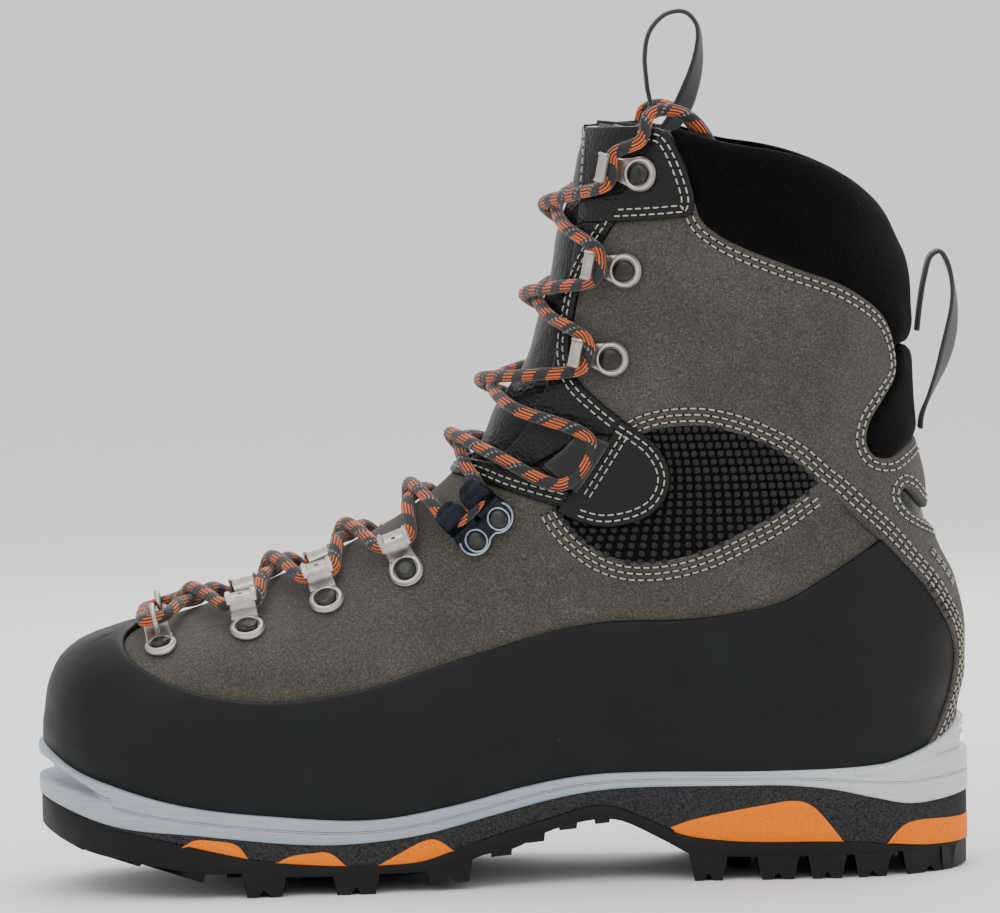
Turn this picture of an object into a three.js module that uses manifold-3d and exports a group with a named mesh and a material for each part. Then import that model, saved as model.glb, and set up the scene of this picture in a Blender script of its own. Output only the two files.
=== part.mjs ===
// A lace-up mountaineering boot: suede upper with a rubber rand, a stiff frame with crampon
// grooves, a lugged sole, a padded tongue and collar, and one lace through all its hardware.
// Millimetres. +Z is up, the toe points along -X, -Y is the near side and +Y the far side.
import * as THREE from "three";
import { mergeVertices } from "three/addons/utils/BufferGeometryUtils.js";
import Module from "manifold-3d";

const wasm = await Module();
wasm.setup();

// ---- Driving dimensions ----
const SOLE_LENGTH = 315; // toe to heel, over the frame
const SHAFT_HEIGHT = 250; // ground to the front edge of the collar
const FOREFOOT_WIDTH = 100; // upper at the ball of the foot
const HEEL_WIDTH = 76; // upper at the heel
const CUFF_WIDTH = 84; // shaft at its top edge
const TOE_SHIFT = 9; // how far the toe leans to the inner side
const CENTRE_SHIFT = 2; // the heel's middle from the X axis, which runs down the middle of the whole boot

const GAP = 0.3; // between two pieces that touch
const LAYER_GAP = 0.4; // between two layers of the upper
const LINING = 2.6; // thickness of the lining with its padding
const STIFFENER = 1.4; // toe puff, heel counter and cuff foam
const LEATHER = 2.2; // suede of the vamp and the cuff
const OVERLAY = 1.6; // leather patches and facings
const RAND = 1.9; // rubber rand
const COLLAR = 4; // padded collar, inwards from the leather's surface
const COLLAR_RISE = 0.5; // how far the collar stands out of the leather
const MESH_DEPTH = 0.5; // how far the flex panels lie below the leather
const TONGUE_WING = 2.8; // tongue behind the facings
const TONGUE_RIDGE = 26; // width of the tongue's thick middle
const WING_CLEARANCE = 0.8; // between the tongue's wings and the lining
const TONGUE_REACH = 14; // how far the tongue goes back behind each facing
const FRAME_FLANGE = 5; // frame beyond the leather of the upper
const HEEL_CUP = 2.4; // wall of the frame's heel cup
const CRAMPON_GROOVE = 5; // depth of the toe groove
const HEEL_GROOVE = 4.5; // depth of the heel groove
const SHANK = [2, 34]; // thickness and width
const BOARD = 2; // insole board
const FOOTBED = 4.5;
const INSOLE_MARGIN = 0.9; // between the insole and the lining beside it
const LUG_WIDTH = 30; // side lugs, from the edge inwards
const LUG_SLOT = 3; // half the gap along the middle of the sole
const LACE = 4.2; // diameter
const PLATE = 1.2; // sheet metal of the lace hardware
const RING_WIRE = 0.9; // half the toe ring's wire
const TOE_RING = 4.7; // radius of the toe ring, to the middle of its wire
const RIVET_RADIUS = 4.9;
const RIVET_HEIGHT = 1.6;
const WEBBING = [1.8, 14]; // pull loops: thickness and width
const LOOP_BORE = 3; // radius of the folded loop that holds the lace
const LACE_ROOM = LACE / 2 + 0.4; // radius of the lace's way through its keepers
const SHOULDER_LIFT = 5.8; // lace centre above the leather beside a crossing
const CROSSING_LIFT = 4.1; // and of the lower strand at a crossing

// The outlines below are drawn for a boot of this length and height, and follow the two sizes above.
const PATTERN_LENGTH = 315;
const PATTERN_HEIGHT = 250;
const pattern = (points) =>
  points.map(([x, z]) => [(x * SOLE_LENGTH) / PATTERN_LENGTH, (z * SHAFT_HEIGHT) / PATTERN_HEIGHT]);
const along = (x) => (x * SOLE_LENGTH) / PATTERN_LENGTH;
const upward = (z) => (z * SHAFT_HEIGHT) / PATTERN_HEIGHT;

// ---- Side-view outlines, [x, z] ----
const FRAME_TOP = pattern([
  [-156.5, 50.3], [-146, 43], [-129, 36.9], [-108, 31.3], [-78, 26.9], [-44, 24.6], [-17, 28.3],
  [9, 33.9], [30, 37], [88, 36.6], [122, 37], [143, 44], [158, 46],
]);
const FRAME_BOTTOM = pattern([
  [-158, 33.2], [-131, 24.5], [-104, 21.5], [-69, 17.3], [-52, 16.9], [-29, 19], [-2, 25.1],
  [17, 29.3], [35, 31.6], [95, 31.5], [110, 29.8], [124, 26.5], [137, 23.8], [159, 25.7],
]);
const MIDSOLE_BOTTOM = pattern([
  [-126, 23.2], [-106, 18.3], [-87, 13.6], [-75, 11.6], [-55, 10], [-43, 9.8], [-29, 10.6], [-19, 13.6],
  [15, 23], [32, 26.6], [46, 22], [58, 16.3], [76, 13.5], [112, 12.6], [126, 11.3], [138, 9.7], [159, 8.9],
]);
const OUTSOLE_BOTTOM = pattern([
  [-158, 23], [-141.5, 16.3], [-122, 12.2], [-101, 8.6], [-89, 8.6], [-73, 6.6], [-41, 6.6], [-19, 6.6],
  [-11, 11.6], [2, 12.6], [15, 19.6], [30, 21.6], [38, 22.6], [53, 15.7], [62, 9], [75, 8], [159, 8],
]);
// The grooves that a crampon's bails grip, at the toe and at the heel.
const TOE_GROOVE = pattern([[-170, 50], [-154, 45.5], [-134, 34], [-134, 32.8], [-154, 38], [-170, 40]]);
const HEEL_GROOVE_LINE = pattern([[170, 44], [150, 42.5], [150, 38], [156, 35.6], [170, 35.6]]);
const UPPER_TOP = 300; // above everything on the shaft
const BESIDE = 120; // beyond the boot on either side
const BEYOND = 400; // beyond its toe and its heel

const RAND_TOP = pattern([
  [-117, 91], [-126, 84], [-124, 79.5], [-111, 71.4], [-94, 66.3], [-77, 64.5], [-60, 65.8], [-42, 68.8],
  [-20, 74.9], [2, 80.8], [19, 85], [36, 87.4], [62, 87.8], [79, 89.7], [94, 93], [107, 100], [120, 108.6],
]);
const RAND_REAR = pattern([[127, 112], [139, 98], [146, 89], [150, 80], [150.7, 73], [149, 62], [141, 42]]);
const FLEX_LOWER = pattern([[21, 123.4], [27, 116], [35, 110], [43, 107.4], [55, 107.4], [68, 110.5],
  [92, 122], [106.7, 132.4]]);
const FLEX_UPPER = pattern([[106.7, 132.4], [99, 140], [89, 146], [77, 151], [65, 153], [49, 151], [34,
  138]]);
const CUFF_REAR = pattern([[106.7, 132.4], [118, 124], [129, 112], [139, 95], [143, 78], [144, 62],
  [142, 42]]);
const CUFF_TOP = pattern([
  [36, 254], [59, 251.6], [65, 239], [67.6, 225], [71, 220], [83, 212], [100, 205], [118, 197.7], [130,
    188], [134, 176], [134.4, 167],
  [129.5, 159], [125, 152], [123.8, 145.5], [126, 141], [131, 139.3], [146, 149],
]);
const COLLAR_TOP = pattern([
  [62, 252], [75, 248], [95, 244.3], [109, 240], [120.5, 234.7], [130.4, 226], [136, 214], [150, 196],
]);
const COLLAR_REAR = pattern([[150, 178], [134.2, 177]]);
const FACING_FRONT = pattern([[33.5, 258], [31, 236], [27.6, 212], [22, 184], [17, 166], [8, 150], [-2,
  140]]);
const INSTEP_BAND = pattern([[-60, 143.5], [-12, 141.2], [14.4, 139.4], [24.4, 130.6], [22.6, 127],
  [-10, 136.6], [-60, 139]]);
const FACING_REAR = pattern([[41, 221], [30.4, 204], [27, 191], [25.4, 178], [27, 169], [35, 161], [43,
  154]]);
const HOOK_PATCH = pattern([[59, 250.6], [64.8, 238.7], [67, 227], [65.5, 222.5], [41, 221]]);
const ANKLE_PATCH = pattern([
  [43, 154], [52, 148], [57, 138], [57, 134], [53, 125], [45, 119.8], [33, 119.7], [21.4, 123.7],
    [26.3, 129], [39.8, 148],
]);
const KEEPER = pattern([[27.5, 151], [37.5, 147.5], [26, 131], [16, 140]]);
const HEEL_SLOT = pattern([[134.5, 128.3], [144, 118.5], [148, 112], [150, 126], [138, 132]]);

// ---- The upper's outer surface ----
const FRONT = pattern([
  [-146, 8], [-151, 28], [-153.5, 52], [-152.5, 65], [-149, 75], [-142, 81.5], [-131, 85.5], [-116,
    89.5], [-95, 95.5],
  [-81, 100.6], [-54, 111.7], [-34, 122.3], [-16, 136], [-7.6, 146.6], [-2, 158], [10, 178], [14, 190],
    [17.7, 206],
  [25.5, 236.6], [30, 252], [33, 262],
]);
const BACK = pattern([
  [146, 8], [149, 36], [151.6, 56], [154, 66], [154.3, 80], [151.5, 96], [146, 108], [142.5, 120],
    [141.5, 140],
  [140, 160], [139.3, 190], [137.5, 206], [133, 222], [126, 240], [116, 262],
]);
const FOREFOOT = [[8, 0.97], [28, 1], [55, 1], [75, 0.9], [90, 0.74], [105, 0.66], [125, 0.66], [262, 0.7]];
const REAR = [[8, 0.94], [50, 1], [80, 1.02], [110, 0.95], [140, 0.96], [180, 1.02], [215, 1.07], [262,
  1.13]];
const SHAFT = [[8, 0.5], [110, 0.8], [140, 0.82], [180, 0.9], [215, 0.97], [250, 1], [262, 1]];
const LEVELS = [10, 46, 60, 72, 81, 88, 97, 108, 121, 137, 158, 185, 212, 237, 262];
const AROUND = 20;

// A smooth function through points [value, height] that never overshoots them.
function smooth(points, key, at, out = 1 - key) {
  const last = points.length - 1;
  const secant = (i) => (points[i + 1][out] - points[i][out]) / (points[i + 1][key] - points[i][key]);
  const slope = (i) => {
    if (i === 0) return secant(0);
    if (i === last) return secant(last - 1);
    const [a, b] = [secant(i - 1), secant(i)];
    return a * b <= 0 ? 0 : (2 * a * b) / (a + b);
  };
  let i = 0;
  while (i < last - 1 && at > points[i + 1][key]) i += 1;
  const span = points[i + 1][key] - points[i][key];
  const t = THREE.MathUtils.clamp((at - points[i][key]) / span, 0, 1);
  const [t2, t3] = [t * t, t * t * t];
  return (
    (2 * t3 - 3 * t2 + 1) * points[i][out] +
    (t3 - 2 * t2 + t) * span * slope(i) +
    (3 * t2 - 2 * t3) * points[i + 1][out] +
    (t3 - t2) * span * slope(i + 1)
  );
}

const frontAt = (z) => smooth(FRONT, 1, z);
const backAt = (z) => smooth(BACK, 1, z);
const ease = (a, b, x) => THREE.MathUtils.smoothstep(x, a, b);

// The line that the foot is centred on, which leans inwards at the toe and out at the waist.
const middle = (x) => CENTRE_SHIFT - TOE_SHIFT * ease(40, 160, -x) + 3 * ease(-60, 20,
  x) * (1 - ease(20, 110, x));

// Half the width of the upper at one place of the side view.
function halfWidth(x, z) {
  const [front, back] = [frontAt(z), backAt(z)];
  const low = upward(118) > z ? 1 : 0;
  const height = (z * PATTERN_HEIGHT) / SHAFT_HEIGHT;
  const ball = (FOREFOOT_WIDTH / 2) * smooth(FOREFOOT, 0, height);
  const cuffShare = ease(upward(110), upward(240), z);
  const rearWidth = HEEL_WIDTH + (CUFF_WIDTH - HEEL_WIDTH) * cuffShare;
  const rear = (rearWidth / 2) * smooth(REAR, 0, height) * (1 - 0.05 * cuffShare);
  const shaft = (CUFF_WIDTH / 2) * smooth(SHAFT, 0, height);
  const fore = THREE.MathUtils.lerp(ball, shaft, ease(upward(100), upward(150), z));
  const waist = 1 - 0.1 * low * ease(upward(118), upward(70), z) * Math.exp(-(((x - 35) / 48) ** 2));
  const width = THREE.MathUtils.lerp(fore, rear, ease(along(-60), along(105), x)) * waist;
  const vampNose = THREE.MathUtils.lerp(along(62), along(88), ease(upward(70), upward(92), z));
  const noseLength = THREE.MathUtils.lerp(vampNose, along(44), ease(upward(95), upward(140), z));
  const tailLength = along(46);
  const nose = Math.max(0, (front + noseLength - x) / noseLength);
  const tail = Math.max(0, (x - back + tailLength) / tailLength);
  const round = (t, n) => Math.max(0, 1 - Math.min(1, t) ** n) ** (1 / n);
  return width * round(nose, 2.2) * round(tail, 2.3);
}

// A point of the surface at a height and an angle round it: 0 at the front, pi at the back.
function skin(angle, z) {
  const [front, back] = [frontAt(z), backAt(z)];
  const x = front + ((back - front) * (1 - Math.cos(angle))) / 2;
  return new THREE.Vector3(x, middle(x) + Math.sign(Math.sin(angle)) * halfWidth(x, z), z);
}

function skinNormal(angle, z) {
  const across = skin(angle + 0.02, z).sub(skin(angle - 0.02, z));
  const up = skin(angle, z + 0.7).sub(skin(angle, z - 0.7));
  return across.cross(up).normalize();
}

// ---- Solids ----
const solid = (geometry) => {
  const bare = geometry.index ? geometry.toNonIndexed() : geometry.clone();
  for (const name of Object.keys(bare.attributes)) if (name !== "position") bare.deleteAttribute(name);
  const merged = mergeVertices(bare, 1e-4);
  return new wasm.Manifold(
    new wasm.Mesh({
      numProp: 3,
      vertProperties: merged.attributes.position.array,
      triVerts: new Uint32Array(merged.index.array),
    }),
  );
};

// The whole upper as one solid, grown by an offset along the surface's normals.
const forms = new Map();
function form(offset) {
  if (forms.has(offset)) return forms.get(offset);
  const geometry = new THREE.CylinderGeometry(1, 1, 1, AROUND, LEVELS.length - 1);
  const place = geometry.attributes.position;
  for (let i = 0; i < place.count; i += 1) {
    const [x, y, z] = [place.getX(i), place.getY(i), place.getZ(i)];
    const level = upward(LEVELS[Math.round((y + 0.5) * (LEVELS.length - 1))]);
    const angle = Math.atan2(x, z);
    const point =
      Math.hypot(x, z) < 0.5
        ? new THREE.Vector3((frontAt(level) + backAt(level)) / 2, 0, level)
        : skin(-angle, level).addScaledVector(skinNormal(-angle, level), -offset);
    place.setXYZ(i, point.x, point.y, point.z);
  }
  const made = solid(geometry);
  forms.set(offset, made.volume() < 0 ? solid(flipped(geometry)) : made);
  return forms.get(offset);
}

function flipped(geometry) {
  const loose = geometry.toNonIndexed();
  const turned = loose.clone();
  const [from, to] = [loose.attributes.position, turned.attributes.position];
  for (let i = 0; i < from.count; i += 3) {
    to.setXYZ(i + 1, from.getX(i + 2), from.getY(i + 2), from.getZ(i + 2));
    to.setXYZ(i + 2, from.getX(i + 1), from.getY(i + 1), from.getZ(i + 1));
  }
  return turned;
}

const layer = (inner, outer) => form(outer).subtract(form(inner));

// A side-view outline as a block between two places across the boot.
function block(points, from = -BESIDE, to = BESIDE) {
  const shape = new THREE.Shape(points.map(([x, z]) => new THREE.Vector2(x, z)));
  const geometry = new THREE.ExtrudeGeometry(shape, { depth: to - from, bevelEnabled: false, steps: 1 });
  return solid(geometry.rotateX(Math.PI / 2).translate(0, to, 0));
}

// A top-view outline as a block between two heights.
function slab(points, from, to) {
  const shape = new THREE.Shape(points.map(([x, y]) => new THREE.Vector2(x, y)));
  return solid(new THREE.ExtrudeGeometry(shape, { depth: to - from, bevelEnabled: false }).translate(0,
    0, from));
}

// The top-view outline of the upper at one height, grown by an offset.
function plan(z, offset, count = 44) {
  return Array.from({ length: count }, (_, i) => {
    const angle = (2 * Math.PI * (i + 0.5)) / count;
    const normal = skinNormal(angle, z).setZ(0).normalize();
    const point = skin(angle, z).addScaledVector(normal, -offset);
    return [point.x, point.y];
  });
}

const shift = (points, dx, dz) => points.map(([x, z]) => [x + dx, z + dz]);
const reversed = (points) => [...points].reverse();
const onTop = (points, z) => [...points, [points.at(-1)[0], z], [points[0][0], z]];
const wide = (points) => [[-BEYOND, points[0][1]], ...points, [BEYOND, points.at(-1)[1]]];

// An outline grown outwards by an even margin.
function grown(points, margin) {
  const turn = Math.sign(THREE.ShapeUtils.area(points.map(([x, y]) => new THREE.Vector2(x, y))));
  const edge = (a, b) => new THREE.Vector2(b[0] - a[0], b[1] - a[1]).normalize();
  return points.map((point, i) => {
    const before = edge(points.at(i - 1), point);
    const after = edge(point, points[(i + 1) % points.length]);
    const out = new THREE.Vector2(before.y + after.y, -before.x - after.x).normalize();
    const reach = Math.min(2, 1 / Math.max(0.3, out.dot(new THREE.Vector2(after.y, -after.x))));
    return [point[0] + out.x * turn * margin * reach, point[1] + out.y * turn * margin * reach];
  });
}

// ---- Materials and the scene graph ----
const FINISHES = {
  suede: ["#5c5850", 0.95, 0],
  rand: ["#1d2224", 0.7, 0],
  frame: ["#98a2ac", 0.4, 0.1],
  midsole: ["#48484a", 0.8, 0],
  cushion: ["#f59a0b", 0.6, 0],
  outsole: ["#161616", 0.8, 0],
  leather: ["#141616", 0.45, 0],
  mesh: ["#2a2c31", 0.7, 0],
  softshell: ["#101013", 0.9, 0],
  fleece: ["#54565a", 1, 0],
  lining: ["#2b2d2f", 1, 0],
  board: ["#c9b68f", 0.8, 0],
  plastic: ["#202225", 0.4, 0],
  steel: ["#b5aca4", 0.35, 0.9],
  enamel: ["#2c3542", 0.35, 0.6],
  webbing: ["#3a3833", 0.9, 0],
  lace: ["#1b1b1c", 0.85, 0],
};
const boot = new THREE.Group();
const materials = {};

function material(finish) {
  const [color, roughness, metalness] = FINISHES[finish];
  materials[finish] ??= new THREE.MeshStandardMaterial({ color, roughness, metalness });
  return materials[finish];
}

function add(name, finish, shape, place) {
  const mesh = shape.getMesh();
  const geometry = new THREE.BufferGeometry();
  const count = mesh.vertProperties.length / mesh.numProp;
  const points = new Float32Array(count * 3);
  for (let i = 0; i < count; i += 1) {
    points.set(mesh.vertProperties.subarray(i * mesh.numProp, i * mesh.numProp + 3), i * 3);
  }
  geometry.setAttribute("position", new THREE.BufferAttribute(points, 3));
  geometry.setIndex(new THREE.BufferAttribute(mesh.triVerts, 1));
  geometry.computeVertexNormals();
  const made = new THREE.Mesh(geometry, material(finish));
  made.name = name;
  if (place) made.applyMatrix4(place);
  boot.add(made);
}

const SIDES = [["near", -1], ["far", 1]];
// The space on one side of the boot, as the reach of a block across it.
const oneSide = (side) => (side < 0 ? [-BESIDE, -GAP] : [GAP, BESIDE]);

// ---- Sole unit ----
const soleEdge = (offset) => slab(plan(upward(40), FRAME_FLANGE + offset), -5, 120);

// Side-view outlines of the cushion inserts, which stand on the midsole's bottom.
const CUSHIONS = [
  [[-106, 18.5], [-102.8, 19.8], [-91.7, 18.8], [-89.4, 17.4], [-87.4, 14]],
  [[-76.4, 12], [-71.3, 14], [-65.2, 14.6], [-59.8, 14.4], [-54.6, 10.5]],
  [[-42.8, 10.3], [-29.9, 16.3], [-25.8, 17.3], [-22.8, 16.5], [-19.5, 14]],
  [[55.3, 20], [97.8, 26.4], [102.1, 25.6], [105.8, 22.5], [112.2, 12.9], [76.3, 13.8], [61.9, 15.4]],
  [[126.3, 11.6], [131.2, 16.9], [134.9, 17.8], [170, 17.3], [170, 9.2]],
].map(pattern);

function soleUnit() {
  const frameOutline = [...wide(FRAME_TOP), ...reversed(wide(FRAME_BOTTOM))];
  const inner = slab(plan(upward(40), FRAME_FLANGE - CRAMPON_GROOVE), -5, 120);
  const heelInner = slab(plan(upward(40), FRAME_FLANGE - HEEL_GROOVE), -5, 120);
  const cup = layer(LAYER_GAP + RAND + GAP, LAYER_GAP + RAND + GAP + HEEL_CUP).intersect(
    block(pattern([[136, 38], [143, 45.5], [150, 51], [154, 58], [170, 60], [170, 38]])),
  );
  const shankLength = [along(-70), along(118)];
  const pocket = (margin) => {
    const [depth, width] = [SHANK[0] + 2 * margin, SHANK[1] / 2 + margin];
    const run = FRAME_TOP.filter(([x]) => x > shankLength[0] - 12 && x < shankLength[1] + 6);
    const centre = middle(0);
    const [front, rear] = [shankLength[0] - margin, shankLength[1] + margin];
    const strip = block([...shift(run, 0, 0.01), ...reversed(shift(run, 0, -depth))], centre - width,
      centre + width);
    return strip.intersect(block([[front, 0], [rear, 0], [rear, UPPER_TOP], [front, UPPER_TOP]]));
  };
  const frame = block(frameOutline)
    .intersect(soleEdge(0))
    .subtract(block(TOE_GROOVE).subtract(inner))
    .subtract(block(HEEL_GROOVE_LINE).subtract(heelInner))
    .add(cup.subtract(form(LAYER_GAP + RAND + GAP)))
    .subtract(pocket(GAP));
  add("crampon_frame", "frame", frame);
  add("shank", "steel", pocket(0).translate([0, 0, -GAP]));

  const cushionCut = CUSHIONS.map((c) => block(grown(c, GAP))).reduce((all, one) => all.add(one));
  const midsole = block([...reversed(shift(FRAME_BOTTOM.slice(1), 0, -GAP)), ...MIDSOLE_BOTTOM]);
  add("midsole", "midsole", midsole.intersect(soleEdge(-0.5)).subtract(cushionCut));
  CUSHIONS.forEach((outline, i) => {
    add(`cushion_${i + 1}`, "cushion", block(outline).intersect(soleEdge(-0.3)).intersect(midsole));
  });
}

// Side lugs: [front, back, bottom height], each one on both edges of the sole.
const SIDE_LUGS = [
  [-99, -87, 1.5], [-88, -74, 0.4], [-58, -43, 0], [-26, -12, 2.6],
  [61.5, 73, 0], [84, 97, 0], [100, 113, 0], [116, 128, 0], [132, 157, 0],
];
// Blocks along the middle of the forefoot, and the toe's climbing edge: [front, back, bottom height].
const MIDDLE_LUGS = [[-118, -104, 5], [-96, -80, 1.5], [-70, -56, 0], [-40, -26, 0.6]];

function outsole() {
  const top = [...pattern([[-158, 32.9], [-131, 24.2]]), ...shift(MIDSOLE_BOTTOM, 0, -GAP)];
  const edge = soleEdge(-0.8);
  let made = block([...OUTSOLE_BOTTOM, ...reversed(top)]);
  const bar = ([front, rear, bottom], from, to) => {
    const roof = upward(14);
    return block([[along(front) + 1, bottom], [along(rear) - 1, bottom], [along(rear), roof],
      [along(front), roof]], from, to);
  };
  const under = block([...reversed(top), ...shift(top, 0, -60)]);
  for (const lug of SIDE_LUGS) {
    for (const [, side] of SIDES) {
      const outer = plan(upward(40), FRAME_FLANGE)
        .filter(([x, y]) => Math.abs(x - along((lug[0] + lug[1]) / 2)) < along(24) && Math.sign(y) === side)
        .reduce((most, [, y]) => Math.max(most, Math.abs(y)), 0);
      const reach = Math.max(LUG_SLOT, outer - LUG_WIDTH);
      made = made.add(bar(lug, ...(side < 0 ? [-BESIDE, -reach] : [reach, BESIDE])).intersect(under));
    }
  }
  for (const lug of MIDDLE_LUGS) {
    const centre = middle(along(lug[0]));
    made = made.add(bar(lug, centre - 13, centre + 13).intersect(under));
  }
  const toeEdge = pattern([[-158, 23], [-141.5, 16.3], [-136, 15.5], [-122, 11.8], [-101.4, 5.9], [-99,
    14], [-130, 23], [-158, 30]]);
  made = made.add(block(toeEdge));
  add("outsole", "outsole", made.intersect(edge));
}

// ---- Inside the boot ----

function footwell() {
  const [boardBottom, boardTop] = [GAP, GAP + BOARD];
  const bedBottom = boardTop + GAP;
  const band = (low, high) => block([...shift(FRAME_TOP, 0, high), ...reversed(shift(FRAME_TOP, 0, low))]);
  const ends = (front, rear) => block(pattern([[front, 0], [rear, 0], [rear, 90], [front, 90]]));
  const boardEdge = form(liningIn - INSOLE_MARGIN);
  const bedEdge = form(liningIn - INSOLE_MARGIN - 0.7);
  add("insole_board", "board", band(boardBottom, boardTop).intersect(boardEdge).intersect(ends(-137, 138)));
  add("footbed", "fleece", band(bedBottom, bedBottom + FOOTBED).intersect(bedEdge).intersect(ends(-135,
    137)));
}

// ---- The upper ----
// What stands above the frame's top edge.
const aboveFrame = block(onTop(shift(wide(FRAME_TOP), 0, GAP), UPPER_TOP));
// The opening between the two facings, which the tongue fills.
const [THROAT_LOW] = pattern([[0, 140]]);
const throat = (margin) => {
  const edge = shift(FACING_FRONT, margin, 0);
  return block([...edge, [edge.at(-1)[0], THROAT_LOW[1] - margin], [-300, THROAT_LOW[1] - margin],
    [-300, UPPER_TOP]]);
};
const leatherIn = -LEATHER;
const stiffOut = leatherIn - LAYER_GAP;
const stiffIn = stiffOut - STIFFENER;
const liningOut = stiffIn - LAYER_GAP;
const liningIn = liningOut - LINING;
const wingOut = liningIn - WING_CLEARANCE;

// The space of the tongue's thick middle from a height upwards, with a margin on both sides.
const ridgeSpace = (from, margin) => {
  const [centre, side] = [middle(along(20)), TONGUE_RIDGE / 2 + margin];
  const region = [[-BEYOND, from], [BEYOND, from], [BEYOND, UPPER_TOP], [-BEYOND, UPPER_TOP]];
  return block(region, centre - side, centre + side);
};

function tongue() {
  const reach = shift(FACING_FRONT, TONGUE_REACH, 0);
  const region = block([...reach, ...pattern([[5, 131], [-100, 131], [-100, 258]])]);
  const wingRegion = pattern([[-90, 120], [90, 120], [90, 252.5], [-90, 252.5]]);
  const wings = layer(wingOut - TONGUE_WING, wingOut).intersect(block(wingRegion));
  const ridge = layer(wingOut - TONGUE_WING, 0).intersect(throat(-GAP)).intersect(ridgeSpace(0, 0));
  add("tongue", "leather", wings.add(ridge).intersect(region));
}

function outerLeather() {
  const leather = layer(leatherIn, 0).intersect(aboveFrame).subtract(throat(GAP));
  const vampEdge = pattern([[-300, 139.6], [19, 139.6]]);
  const vampRegion = [...vampEdge, ...FLEX_LOWER, ...CUFF_REAR.slice(1), [along(142), 0], [-300, 0]];
  add("vamp", "suede", leather.intersect(block(vampRegion)));

  const cuffRegion = [
    ...CUFF_TOP, ...pattern([[400, 149], [400, 0], [142, 0]]), ...reversed(CUFF_REAR),
      ...FLEX_UPPER.slice(1),
    ...pattern([[21, 123.4], [19, 139.6], [-300, 139.6], [-300, 254]]),
  ];
  const besideVamp = block(grown(vampRegion, GAP));
  add("cuff", "suede", leather.intersect(block(cuffRegion)).subtract(besideVamp));
  const flexRegion = [...FLEX_LOWER, ...FLEX_UPPER.slice(1)];
  const besidePanel = besideVamp.add(block(grown(cuffRegion, GAP)));
  for (const [name, side] of SIDES) {
    const panel = layer(leatherIn, -MESH_DEPTH).intersect(block(flexRegion, ...oneSide(side)));
    add(`flex_panel_${name}`, "mesh", panel.subtract(besidePanel));
  }
}

const collarRegion = [...COLLAR_TOP, ...COLLAR_REAR, ...reversed(CUFF_TOP.slice(1, 10))];

function collarAndHeel() {
  const collar = layer(-COLLAR, COLLAR_RISE).intersect(block(grown(collarRegion, -GAP)));
  add("collar", "softshell", collar);
  const heelFlexRegion = [...CUFF_TOP.slice(9), ...pattern([[160, 149], [160, 176]])];
  add("achilles_flex", "softshell", layer(leatherIn, 0).intersect(block(grown(heelFlexRegion, -GAP))));
}

function innerLayers() {
  const upperInside = [...COLLAR_TOP, [along(400), upward(196)], [along(400), 0], [-400, 0], [-400,
    upward(252)]];
  const behindRidge = ridgeSpace(THROAT_LOW[1] - GAP, GAP).intersect(block([[-60, 0], [along(60), 0],
    [along(60), UPPER_TOP], [-60, UPPER_TOP]]));
  const inside = block(upperInside).intersect(aboveFrame).subtract(throat(GAP)).subtract(behindRidge);
  const toeCap = block(pattern([[-400, 0], [-96, 0], [-104, 120], [-400, 120]]));
  const heelArea = pattern([[62, 0], [400, 0], [400, 118], [128, 116], [84, 78], [66, 60]]);
  const stiffener = layer(stiffIn, stiffOut).intersect(inside);
  add("toe_puff", "plastic", stiffener.intersect(toeCap));
  add("heel_counter", "plastic", stiffener.intersect(block(heelArea)));
  const between = block(pattern([[-95.4, 0], [400, 0], [400, 400], [-104, 400], [-104, 120.4]]));
  const rest = stiffener.intersect(between).subtract(block(grown(heelArea, GAP)));
  add("padding", "fleece", rest.subtract(block(grown(collarRegion, GAP))));
  const collarDepth = Math.max(0, COLLAR + LAYER_GAP + liningOut);
  const lining = layer(liningIn, liningOut - collarDepth).intersect(inside);
  add("lining", "lining", lining);
}

// ---- Overlays on the leather ----
function overlays() {
  const randRegion = [...RAND_TOP, ...RAND_REAR, [along(141), -40], [-300, -40], [-300, upward(92)]];
  const rand = layer(LAYER_GAP, LAYER_GAP + RAND).intersect(block(randRegion)).intersect(aboveFrame);
  add("rand", "rand", rand);

  const overlay = layer(LAYER_GAP, LAYER_GAP + OVERLAY);
  const slotRoom = block(grown(HEEL_SLOT, GAP));
  const bandFront = [...CUFF_REAR.slice(0, 1), ...shift(RAND_REAR, 0.5, 0.2)];
  const bandRegion = [...bandFront, [400, upward(42)], [400, upward(126)], ...pattern([[138, 128],
    [124, 138]])];
  add("heel_band", "suede", overlay.intersect(block(bandRegion)).intersect(aboveFrame).subtract(slotRoom));
  add("heel_slot_trim", "plastic", overlay.intersect(block(HEEL_SLOT)));

  const instepBand = overlay.intersect(block(INSTEP_BAND));
  add("instep_band", "leather", instepBand);
  for (const [name, side] of SIDES) {
    const across = oneSide(side);
    const front = shift(FACING_FRONT, GAP, 0);
    const facingRegion = [...front.slice(0, 6), ...pattern([[26, 148]]), ...reversed(FACING_REAR)];
    const topEdge = block([[-100, 0], [200, 0], [200, upward(250.6)], [44, upward(253)], [-100,
      upward(252)]]);
    const patch = [...front.slice(0, 3), ...reversed(HOOK_PATCH)];
    const hookPatch = overlay.intersect(block(patch, ...across)).intersect(topEdge);
    add(`hook_patch_${name}`, "leather", hookPatch);
    const keeperRoom = block(grown(KEEPER, GAP));
    const ankle = overlay.intersect(block(ANKLE_PATCH, ...across));
    const facing = overlay.intersect(block(facingRegion, ...across)).subtract(block(grown(patch, GAP)));
    add(`facing_${name}`, "leather", facing.subtract(block(grown(ANKLE_PATCH, GAP))).subtract(keeperRoom));
    add(`ankle_patch_${name}`, "leather", ankle.subtract(keeperRoom));
  }
}

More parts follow.
